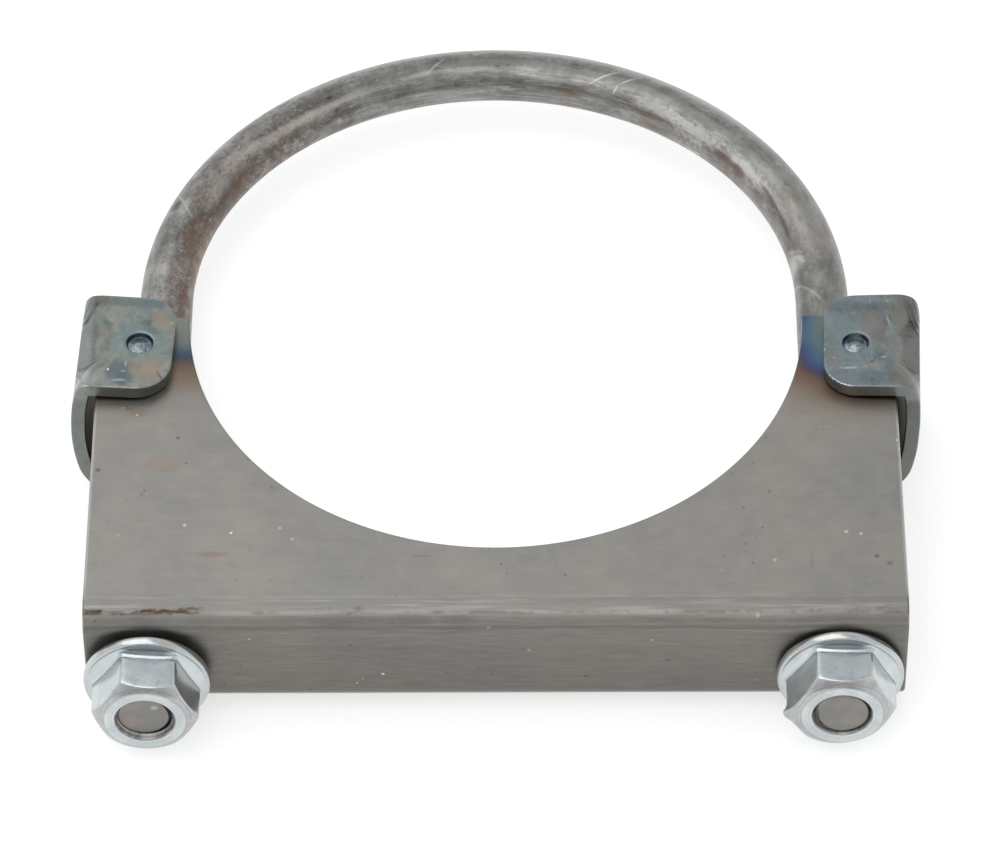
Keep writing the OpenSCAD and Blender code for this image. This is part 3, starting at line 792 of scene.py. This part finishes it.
rod = g.done(base, rough, 1.0, nb)

# ---- zinc plating of the nuts
g = Mat("zinc_plate")
n1 = g.noise(0.35, 3, 0.5, seed=7)
n2 = g.noise(1.1, 4, 0.6, seed=17)
base = g.mix(g.step(n1, 0.35, 0.65), rgb(186, 193, 195), rgb(199, 203, 203))
base = g.mix(g.mul(g.step(n2, 0.58, 0.72), 0.35), base, rgb(209, 215, 217))
base = g.mix(g.mul(g.step(n2, 0.42, 0.30), 0.3), base, rgb(147, 156, 160))
# distance from the nut's axis: the chamfered corners are duller and warmer than the face's ring
nr = g.op("SQRT", g.add(g.op("POWER", g.sub(g.op("ABSOLUTE", g.sub(g.x, -0.34)), 48.77), 2.0), g.op("POWER", g.sub(g.z, -2.0), 2.0)))
face_ = g.step(g.y, -64.6, -64.9)
cham_ = hold(g, face_, g.step(nr, 5.80, 5.95), g.step(g.op("ABSOLUTE", g.ny), 0.55, 0.8))
base = g.mix(g.mul(cham_, 0.62), base, g.mix(g.step(n2, 0.4, 0.6), rgb(156, 154, 150), rgb(172, 170, 167)))
ringl = hold(g, face_, g.step(nr, 5.62, 5.78), g.step(nr, 6.02, 5.86))
base = g.mix(g.mul(ringl, 0.32), base, rgb(112, 112, 110))
for r_, w_, k_ in ((6.42, 0.10, 0.35), (6.85, 0.07, 0.22), (5.15, 0.07, 0.22), (4.78, 0.09, 0.3)):
    line_ = g.step(g.op("ABSOLUTE", g.sub(g.add(nr, g.mul(g.sub(n1, 0.5), 0.5)), r_)), w_, w_ * 0.3)
    base = g.mix(hold(g, line_, face_, g.step(n2, 0.36, 0.52), k_), base, rgb(118, 116, 112))
# painted shade: the countersink is darker, mottled grey and brown
sunk = hold(g, face_, g.step(nr, 4.42, 4.26))
base = g.mix(g.mul(sunk, 0.7), base, g.mix(g.step(n2, 0.42, 0.58), rgb(150, 147, 142), rgb(100, 92, 84)))
# painted shade: the hex flat that faces up is a little darker, toning down its reflection of the lamp
base = g.mix(hold(g, g.step(g.nz, 0.90, 0.98), g.step(g.y, -60.2, -60.8), g.step(nr, 6.4, 6.6), 0.16), base, rgb(96, 104, 106))
# a painted dark reflection: a blue-grey crescent on the flange over the upper flat
ax = g.sub(g.op("ABSOLUTE", g.sub(g.x, -0.34)), 48.77)
flange_dark_reflection = hold(g, g.step(g.y, -63.0, -62.0), g.step(nr, 6.9, 7.2), g.step(nr, 8.15, 7.85), g.step(g.op("ABSOLUTE", ax), 3.9, 2.4), g.step(g.z, 3.0, 4.0), g.step(g.op("ABSOLUTE", g.ny), 0.5, 0.8))
base = g.mix(g.mul(flange_dark_reflection, 0.6), base, rgb(104, 112, 124))
# painted shade: a dark line where the flats end at the flange's fillet
yy = g.add(g.y, g.mul(g.step(g.x, 0.5, -0.5), 0.6))
fillet_shade = hold(g, g.step(yy, -60.62, -60.50), g.step(yy, -60.28, -60.38), g.step(g.op("ABSOLUTE", g.ny), 0.4, 0.2), g.step(n2, 0.36, 0.5))
base = g.mix(g.mul(fillet_shade, 0.6), base, rgb(96, 98, 98))
# a warm passivated cast on the flange's rim
rim = g.step(nr, 8.45, 8.75)
base = g.mix(hold(g, rim, g.step(n1, 0.42, 0.6), 0.45), base, rgb(176, 163, 148))
rough = g.lerp(sunk, g.add(0.22, g.mul(g.sub(n2, 0.5), 0.18)), 0.42)
rough = g.lerp(hold(g, g.step(g.x, 1.0, 2.0), g.step(g.nx, -0.55, -0.75)), rough, 0.52)
nb = g.bump(n2, 0.10, 0.00008)
nb = g.bump(n1, 0.05, 0.0003, nb)
zinc = g.done(base, rough, 1.0, nb)

# ------------------------------------------------------------------ saddle
SW, SH, ST, FR = 57.8, 9.5, 2.2, 4.0
WEB_Y, SEAT_R, EAR_Y, PINCH = 57.6, 44.6, 0.3, 1.2
FY = -WEB_Y + FR
SLOPE = math.atan2(PINCH, EAR_Y - FY)
V1 = SH - FR
V2 = V1 + FR * math.pi / 2
V3 = V2 + EAR_Y - FY
L2 = V1 + FR * (math.pi / 2 + SLOPE)
L3 = L2 + (EAR_Y - FY) / math.cos(SLOPE)


def saddle_place(u, v, w):
    if v > V2:
        y, z, ny, nz = FY + (v - V2), SH, 0.0, 1.0
    elif v > V1:
        a = math.pi - (v - V1) / FR
        ny, nz = math.cos(a), math.sin(a)
        y, z = FY + FR * ny, SH - FR + FR * nz
    elif v > -V1:
        y, z, ny, nz = -WEB_Y, v, -1.0, 0.0
    elif v > -L2:
        a = math.pi + (-V1 - v) / FR
        ny, nz = math.cos(a), math.sin(a)
        y, z = FY + FR * ny, -SH + FR + FR * nz
    else:
        a = 1.5 * math.pi + SLOPE
        ny, nz = math.cos(a), math.sin(a)
        s = -L2 - v
        y = FY + FR * ny + s * math.cos(SLOPE)
        z = -SH + FR + FR * nz + s * math.sin(SLOPE)
    return np.array([u, y - w * ny, z - w * nz])


def saddle_outline():
    pts = []

    def arc(sign):
        # the seat's half circle in the flat pattern, from one ear to the other
        out = []
        n = 220
        for i in range(n + 1):
            a = math.pi * i / n
            x, y = SEAT_R * math.cos(a), -SEAT_R * math.sin(a)
            out.append((x, V2 + (y - FY)) if sign > 0 else (x, -(L2 + (y - FY) / math.cos(SLOPE))))
        return out

    up = arc(1)
    lo = arc(-1)
    r = 0.5
    right = rounded([(SW, 0), (SW, V3), (SEAT_R, V3), (SEAT_R, up[0][1] - 1)], [0, r, 0.6, 0], 0.9)
    # the right ear's corners
    def corner(px, py, ax, ay, bx, by, rad, n=8):
        p, a, b = np.array([px, py]), unit(np.array([ax, ay])), unit(np.array([bx, by]))
        ang = math.acos(float(a @ b))
        d = rad / math.tan(ang / 2)
        c = p + unit(a + b) * rad / math.sin(ang / 2)
        s, e = p + a * d, p + b * d
        a0, a1 = math.atan2(*(s - c)[::-1]), math.atan2(*(e - c)[::-1])
        da = (a1 - a0 + math.pi) % (2 * math.pi) - math.pi
        return [tuple(c + rad * np.array([math.cos(a0 + da * k / n), math.sin(a0 + da * k / n)])) for k in range(n + 1)]

    def run(a, b, step=1.2):
        a, b = np.array(a), np.array(b)
        k = max(1, int(np.linalg.norm(b - a) / step))
        return [tuple(a + (b - a) * t / k) for t in range(1, k)]

    def ear(sx, sv, v_top):
        return corner(sx * SW, v_top, 0, -sv, -sx, 0, 0.5), corner(sx * SEAT_R, v_top, sx, 0, 0, -sv, 0.28, 5)

    o1, i1 = ear(1, 1, V3)
    o2, i2 = ear(-1, 1, V3)
    o3, i3 = ear(-1, -1, -L3)
    o4, i4 = ear(1, -1, -L3)
    pts = []
    pts += o1 + run(o1[-1], i1[0], 0.9) + i1
    pts += [p for p in up if p[1] < i1[-1][1] - 0.02]
    pts += i2[::-1] + run(i2[0], o2[-1], 0.9) + o2[::-1]
    pts += run(o2[0], o3[0])
    pts += o3 + run(o3[-1], i3[0], 0.9) + i3
    pts += [p for p in lo[::-1] if p[1] > i3[-1][1] + 0.02]
    pts += i4[::-1] + run(i4[0], o4[-1], 0.9) + o4[::-1]
    pts += run(o4[0], o1[0])
    return np.array(pts)


HOLE_X, HOLE_Z, HOLE_R = 48.77, -0.9, 5.2
holes = [np.array([(s * HOLE_X + HOLE_R * math.cos(a), HOLE_Z + HOLE_R * math.sin(a))
                   for a in np.linspace(0, 2 * math.pi, 72, endpoint=False)]) for s in (-1, 1)]
rows = [V1 + (V2 - V1) * k / 14 for k in range(15)] + [-V1 - (L2 - V1) * k / 14 for k in range(15)]
V, Fc, N = sheet([saddle_outline()] + holes, saddle_place, ST, 0.32, 0.2, rows)
put("saddle_sheet", V, Fc, "saddle", "saddle", [steel], normals=N)


# ------------------------------------------------------------------ brackets
class Path:
    """A curve through points in a plane, by arc length, with its normal to the left of the travel."""

    def __init__(self, pts, n=600):
        p = np.array(pts, float)
        p = np.vstack([2 * p[0] - p[1], p, 2 * p[-1] - p[-2]])
        out = []
        for i in range(1, len(p) - 2):
            p0, p1, p2, p3 = p[i - 1], p[i], p[i + 1], p[i + 2]
            t0 = 0.0
            t1 = t0 + np.linalg.norm(p1 - p0) ** 0.5
            t2 = t1 + np.linalg.norm(p2 - p1) ** 0.5
            t3 = t2 + np.linalg.norm(p3 - p2) ** 0.5
            for t in np.linspace(t1, t2, 24, endpoint=False):
                a1 = (t1 - t) / (t1 - t0) * p0 + (t - t0) / (t1 - t0) * p1
                a2 = (t2 - t) / (t2 - t1) * p1 + (t - t1) / (t2 - t1) * p2
                a3 = (t3 - t) / (t3 - t2) * p2 + (t - t2) / (t3 - t2) * p3
                b1 = (t2 - t) / (t2 - t0) * a1 + (t - t0) / (t2 - t0) * a2
                b2 = (t3 - t) / (t3 - t1) * a2 + (t - t1) / (t3 - t1) * a3
                out.append((t2 - t) / (t2 - t1) * b1 + (t - t1) / (t2 - t1) * b2)
        out.append(p[-2])
        q = np.array(out)
        s = np.concatenate([[0], np.cumsum(np.linalg.norm(np.diff(q, axis=0), axis=1))])
        self.len = s[-1]
        self.s = np.linspace(0, self.len, n)
        self.q = np.stack([np.interp(self.s, s, q[:, 0]), np.interp(self.s, s, q[:, 1])], 1)
        d = unit(np.gradient(self.q, axis=0))
        nrm = np.stack([-d[:, 1], d[:, 0]], 1)
        ker = np.ones(9) / 9
        pad = np.pad(nrm, ((4, 4), (0, 0)), mode="edge")
        self.n = unit(np.stack([np.convolve(pad[:, k], ker, "valid") for k in range(2)], 1))

    def at(self, v):
        x = np.interp(v, self.s, self.q[:, 0])
        z = np.interp(v, self.s, self.q[:, 1])
        n = unit(np.array([np.interp(v, self.s, self.n[:, 0]), np.interp(v, self.s, self.n[:, 1])]))
        over = v - min(max(v, 0.0), self.len)
        if over:
            x += over * n[1]
            z -= over * n[0]
        return x, z, n


BT, BW, BY = 2.15, 18.2, -7.0


def bracket(side, x_in, prof, corner_r, dimple, turn, skew=0.0, floor_=0.34):
    path = Path([(x_in, 11.65), (x_in + 4, 11.80), (x_in + 8, 11.94)] + prof + [(x_in + 6, -10.94), (x_in + 3, -10.94), (x_in, -10.94)])
    L = path.len
    hw = BW / 2
    outline = rounded([(hw - skew * 0.4, 0), (hw + skew, 11.0), (hw, 15.0), (hw, L), (-hw, L), (-hw, 0)],
                      [corner_r[0], 8.0, 8.0, corner_r[2], corner_r[3], corner_r[1]], 0.8)
    c, s = math.cos(turn), math.sin(turn)
    dx, dy, dr = dimple

    def place(u, v, w):
        x, z, n = path.at(v)
        depth = 0.0
        for ctr in (dx - x_in, L - (dx - x_in)):
            r = math.hypot(u - (dy - BY), v - ctr)
            if r < dr + 0.75:
                # a pressed pit with a domed floor and a small raised lip
                if r < dr:
                    wall = min(1.0, (dr - r) / 0.34)
                    wall = wall * wall * (3 - 2 * wall)
                    dome = floor_ * math.cos(min(1.0, r / (dr * 0.82)) * math.pi / 2) ** 2
                    depth = max(depth, wall * 0.74 - dome)
                else:
                    depth = -0.05 * math.sin((r - dr) / 0.75 * math.pi) ** 2
        d = (w + depth * max(0.0, 1 - w / BT))
        X, Y, Z = side * (x - d * n[0]), BY + u, z - d * n[1]
        px, py = X - side * 52, Y - BY
        X, Y = side * 52 + c * px - s * py, BY + s * px + c * py
        return np.array([X, Y, Z])

    bend = [v for v in np.arange(9.0, L - 8.0, 0.45)]
    extra = []
    for ctr in (dx - x_in, L - (dx - x_in)):
        extra.append((dy - BY, ctr))
        for rr in np.concatenate([np.linspace(0.25, dr - 0.36, 6), np.linspace(dr - 0.32, dr, 6), [dr + 0.06, dr + 0.2, dr + 0.38, dr + 0.75]]):
            k = 40
            extra += [(dy - BY + rr * math.cos(2 * math.pi * i / k), ctr + rr * math.sin(2 * math.pi * i / k)) for i in range(k)]
    return sheet([outline], place, BT, 0.24, 0.22, bend, extra, span=1.2)


# the brackets' outer outlines, X and Z in millimetres, before the turn
OUTER = [(59.6, 11.92), (60.4, 11.55), (60.92, 10.85), (61.14, 9.9), (61.34, 8.7), (61.53, 7.4), (61.70, 4.85), (61.73, 3.0),
         (61.69, 1.0), (61.56, -1.6), (61.23, -4.2), (60.99, -5.5), (60.61, -6.8), (59.95, -8.1), (59.0, -9.45), (57.65, -10.5), (56.0, -10.93)]
OUTER_R = [(58.9, 11.93), (59.95, 11.6), (60.62, 10.85), (60.95, 9.8), (61.14, 8.7), (61.27, 7.4), (61.38, 4.85), (61.38, 3.0),
           (61.33, 1.0), (61.2, -1.6), (60.86, -4.2), (60.62, -5.5), (60.25, -6.8), (59.6, -8.1), (58.7, -9.45), (57.4, -10.5), (55.9, -10.93)]
V, Fc, N = bracket(-1, 46.7, [(x - 0.41 - 0.30 * min(1.0, max(0.0, (z - 1.0) / 8.0)), z) for x, z in OUTER], (4.6, 5.2, 4.2, 4.2), (51.6, -7.0, 2.05), math.radians(-2.6), 0.1)
put("left_bracket_strip", V, Fc, "saddle", "left_bracket", [strip], normals=N)
V, Fc, N = bracket(1, 47.5, [(x + 0.37, z) for x, z in OUTER_R], (4.6, 4.8, 4.2, 4.2), (52.1, -7.4, 2.0), math.radians(-2.4), 0.35, 0.42)
put("right_bracket_strip", V, Fc, "saddle", "right_bracket", [strip], normals=N)

# ------------------------------------------------------------------ U-bolt
LEG_END = -65.9
PITCH, TH_LEN, TH_DEEP = 1.25, 31.0, 0.6


def rod_mesh():
    nt = 56
    ang = np.linspace(0, 2 * math.pi, nt, endpoint=False)
    rows_ = []

    def ring(c, out, up, r):
        return [c + (out * math.cos(a) + up * math.sin(a)) * (r(a) if callable(r) else r) for a in ang]

    up = np.array([0, 0, 1.0])

    def thread(d, a, hand):
        """Radius at depth d from the leg's end."""
        run = min(1.0, max(0.0, (TH_LEN - d) / 2.0))
        ph = (d / PITCH * hand + a / (2 * math.pi)) % 1.0
        tri = abs(ph - 0.5) * 2.0           # 1 at the crest, 0 at the root
        crest = min(1.0, max(0.0, (tri - 0.12) / 0.70))
        r = RR - 0.02 - TH_DEEP * (1 - crest) * run
        lead = (0.16 if hand > 0 else 0.30) - d * 1.1
        if lead > 0:
            r = min(r, RR - 0.02 - lead)
        return r

    ds = np.concatenate([[0.0, 0.1, 0.25, 0.4, 0.6], np.arange(0.75, TH_LEN + 1.0, PITCH / 9)])
    # left leg, from its end up to the arch, then the arch, then the right leg
    x = AX - AR
    for d in ds:
        rows_.append(ring(np.array([x, LEG_END + d, AZ_]), np.array([-1.0, 0, 0]), up, lambda a, d=d: thread(d, a, 1)))
    for y in np.arange(LEG_END + TH_LEN + 2, AY - 1, 2.0):
        rows_.append(ring(np.array([x, y, AZ_]), np.array([-1.0, 0, 0]), up, RR))
    for k in range(0, 181, 1):
        a = math.pi - math.radians(k)
        out = np.array([math.cos(a), math.sin(a), 0])
        rows_.append(ring(np.array([AX, AY, AZ_]) + out * AR, out, up, RR))
    x = AX + AR
    for y in np.arange(AY - 2, LEG_END + TH_LEN + 1, -2.0):
        rows_.append(ring(np.array([x, y, AZ_]), np.array([1.0, 0, 0]), up, RR))
    for d in ds[::-1]:
        rows_.append(ring(np.array([x, LEG_END + d, AZ_]), np.array([1.0, 0, 0]), up, lambda a, d=d: thread(d, a, -1)))
    P = np.array(rows_)
    verts, faces = grid(P, wrap_j=True)
    verts = list(verts)
    n = len(P)
    # the end faces, sawn flat
    for first in (True, False):
        ringi = [(0 if first else (n - 1) * nt) + j for j in range(nt)]
        c = P[0 if first else -1].mean(0)
        prev = ringi
        for f, lift in ((0.97, 0.0), (0.9, 0.02), (0.6, 0.03), (0.3, 0.03)):
            cur = []
            for j in ringi:
                q = c + (verts[j] - c) * f
                q = q + np.array([0, lift * 0.0, 0])
                cur.append(len(verts))
                verts.append(q)
            for j in range(nt):
                k = (j + 1) % nt
                faces.append((prev[j], cur[j], cur[k], prev[k]) if not first else (prev[k], cur[k], cur[j], prev[j]))
            prev = cur
        verts.append(c)
        m_ = len(verts) - 1
        for j in range(nt):
            k = (j + 1) % nt
            faces.append((prev[j], m_, prev[k]) if not first else (prev[k], m_, prev[j]))
    return np.array(verts), faces


V, Fc = rod_mesh()
ub = put("u_bolt_rod", V, Fc, "u_bolt", "u_bolt", [rod])

# ------------------------------------------------------------------ nuts
NUT_H, FD, BORE = 8.0, 17.9, 3.97


def nut_mesh(cx, face, af, turn, sharp=None):
    """A hexagon flange nut, its axis toward -Y, as rings round the axis."""
    fr = FD / 2
    na = 420
    phis = np.linspace(0, 2 * math.pi, na, endpoint=False)
    half = af / 2
    rc = half / math.cos(math.pi / 6)

    def hex_r(p):
        q = (p + math.pi / 6) % (math.pi / 3) - math.pi / 6   # 0 at the flat's middle
        r = half / math.cos(q)
        # rounded vertical edges
        return r - 0.16 * math.exp(-((rc - r) / 0.12))

    def cham(r, p):
        # height of the turned chamfer at radius r, on a cone that may sit a little off centre
        r0 = 5.86
        rr = r
        if sharp is not None:
            dq = (p - sharp + math.pi) % (2 * math.pi) - math.pi
            rr = math.sqrt(r * r + 0.2 - 2 * r * 0.45 * math.cos(dq))
            r0 += 1.15 * math.exp(-(dq / 0.34) ** 2)
        x = rr - r0
        soft = 0.10
        x = 0.5 * (x + math.sqrt(x * x + soft * soft))     # a soft start
        y = max(0.0, x - 0.01)
        return NUT_H - 0.62 * y - 0.10 * y * y

    rows_ = []
    for p in phis:
        rh = hex_r(p)
        top = cham(rh, p)
        cone = lambda r: 1.30 + max(0.0, (fr - 0.60 - r)) * 0.28
        prof = []
        # bore, countersink, face ring
        prof.append((BORE, 1.0))
        prof.append((BORE, NUT_H - 1.05))
        prof.append((BORE - 0.22, NUT_H - 0.90))
        prof.append((BORE, NUT_H - 0.84))
        prof.append((BORE + 0.05, NUT_H - 0.62))
        prof.append((BORE + 0.10, NUT_H - 0.52))
        prof.append((4.12, NUT_H - 0.34))
        prof.append((4.20, NUT_H - 0.17))
        prof.append((4.32, NUT_H - 0.07))
        prof.append((4.56, NUT_H - 0.015))
        prof.append((5.0, NUT_H - 0.0))
        for r in (5.3, 5.55, 5.75, 5.9, 6.0, 6.1, 6.2, 6.3):
            prof.append((min(r, rh - 0.10 - 0.01 * (6.3 - r)), cham(min(r, rh - 0.10), p)))
        for f in (0.2, 0.4, 0.6, 0.8, 1.0):
            rr = 6.3 + (rh - 0.09 - 6.3) * f
            prof.append((rr, cham(rr, p)))
        fl = 0.0
        if sharp is not None:
            dq = (p - sharp + math.pi) % (2 * math.pi) - math.pi
            fl = 0.62 * math.exp(-(dq / 0.15) ** 2)
        prof.append((rh - 0.035 + fl * 0.9, cham(rh - 0.035, p) - 0.035))
        prof.append((rh - 0.008 + fl, cham(rh, p) - 0.09 - fl * 0.2))
        prof.append((rh + fl * 0.92, cham(rh, p) - 0.17 - fl * 0.5))
        zf = cone(rh)
        for f, q in ((0.12, 0.5), (0.25, 0.12), (0.5, 0.0), (0.75, 0.0), (0.90, 0.0), (0.96, 0.0)):
            prof.append((rh + fl * q, (top - 0.17) + (zf + 0.34 - top + 0.17) * f))
        # a low ridge left by the forging, then the fillet to the flange
        prof.append((rh + 0.01, zf + 0.32))
        prof.append((rh + 0.05, zf + 0.28))
        prof.append((rh + 0.09, zf + 0.22))
        prof.append((rh + 0.13, zf + 0.15))
        prof.append((rh + 0.18, zf + 0.08))
        prof.append((rh + 0.24, zf + 0.03))
        rs = rh + 0.32
        for f in (0.25, 0.5, 0.75, 1.0):
            r = rs + (fr - 0.60 - rs) * f
            prof.append((r, cone(r)))
        # a crease, then the rounded rim
        prof.append((fr - 0.54, 1.32))
        prof.append((fr - 0.48, 1.345))
        for a in np.linspace(0.25, 1, 6):
            th = a * math.pi / 2
            prof.append((fr - 0.46 + 0.46 * math.sin(th), 1.37 - 0.80 * (1 - math.cos(th))))
        prof.append((fr, 0.3))
        prof.append((fr - 0.02, 0.2))
        prof.append((fr - 0.07, 0.06))
        prof.append((fr - 0.22, 0.0))
        prof.append((fr - 1.6, 0.0))
        prof.append((5.4, 0.0))
        prof.append((4.9, 0.0))
        prof.append((4.4, 0.15))
        prof.append((BORE, 0.6))
        prof.append((BORE, 1.0 - 1e-3))
        rows_.append(prof)
    A = np.array(rows_)                    # phi, s, (r, h)
    ph = phis[:, None] + turn
    P = np.stack([cx + A[:, :, 0] * np.cos(ph), face - A[:, :, 1], AZ_ + A[:, :, 0] * np.sin(ph)], 2)
    return grid(P, wrap_i=True, flip=False)


# the hexagon's first flat faces up; seen from the front, positive turns go clockwise
for name, cx, face, af, turn, node, body in (("left_nut_hex", -49.11, -58.82, 13.35, 5.0, "left_nut", "left_nut"),
                                             ("right_nut_hex", 48.43, -58.22, 13.6, 2.0, "right_nut", "right_nut")):
    sharp = None if cx < 0 else math.radians(90)
    V, Fc = nut_mesh(cx, face, af, math.pi / 2 - math.radians(turn), sharp)
    put(name, V, Fc, body, node, [zinc])

# ------------------------------------------------------------------ floor and light
floor_me = bpy.data.meshes.new("floor")
S = 3.0
FZ = -10.98 * MM
floor_me.from_pydata([(-S, -S, FZ), (S, -S, FZ), (S, S, FZ), (-S, S, FZ)], [], [(0, 1, 2, 3)])
floor_mat = plain("floor_white", (0.5, 0.5, 0.5), 0.9, 0.0)
floor_sh = [n for n in floor_mat.node_tree.nodes if n.type == "BSDF_PRINCIPLED"][0]
floor_sh.inputs["Emission Color"].default_value = (1, 1, 1, 1)
floor_sh.inputs["Emission Strength"].default_value = 0.62
floor_me.materials.append(floor_mat)
floor = bpy.data.objects.new("floor", floor_me)
scene.collection.objects.link(floor)

world = bpy.data.worlds.new("world")
scene.world = world
world.use_nodes = True
wt = world.node_tree
bg = wt.nodes["Background"]
wtc = wt.nodes.new("ShaderNodeTexCoord")
wsp = wt.nodes.new("ShaderNodeSeparateXYZ")
wt.links.new(wtc.outputs["Generated"], wsp.inputs[0])
wr = wt.nodes.new("ShaderNodeValToRGB")
wt.links.new(wsp.outputs[2], wr.inputs[0])
els = wr.color_ramp.elements
els[0].position, els[0].color = 0.0, (0.93, 0.94, 0.95, 1)
els[1].position, els[1].color = 1.0, (0.62, 0.64, 0.66, 1)
e = els.new(0.35)
e.color = (0.95, 0.96, 0.97, 1)
e = els.new(0.72)
e.color = (0.82, 0.84, 0.86, 1)
# the room is darker low in front
wf = wt.nodes.new("ShaderNodeMapRange")
wf.interpolation_type = "SMOOTHSTEP"
wf.inputs["From Min"].default_value = -0.70
wf.inputs["From Max"].default_value = -0.95
wf.inputs["To Min"].default_value = 1.0
wf.inputs["To Max"].default_value = 0.62
wt.links.new(wsp.outputs[1], wf.inputs["Value"])
wt.links.new(wr.outputs[0], bg.inputs[0])
wt.links.new(wf.outputs[0], bg.inputs[1])


def area(name, loc, aim, size, power, color=(1, 1, 1)):
    li = bpy.data.lights.new(name, "AREA")
    li.shape = "RECTANGLE"
    li.size, li.size_y = size
    li.energy = power
    li.color = color
    ob = bpy.data.objects.new(name, li)
    ob.location = loc
    ob.rotation_euler = (Vector(aim) - Vector(loc)).to_track_quat("-Z", "Y").to_euler()
    scene.collection.objects.link(ob)
    return ob


area("key", (-0.30, -0.06, 1.10), (0, 0, 0), (1.8, 1.0), 6.6)

scene.view_settings.view_transform = "Standard"
scene.view_settings.look = "None"
scene.view_settings.exposure = 0.0
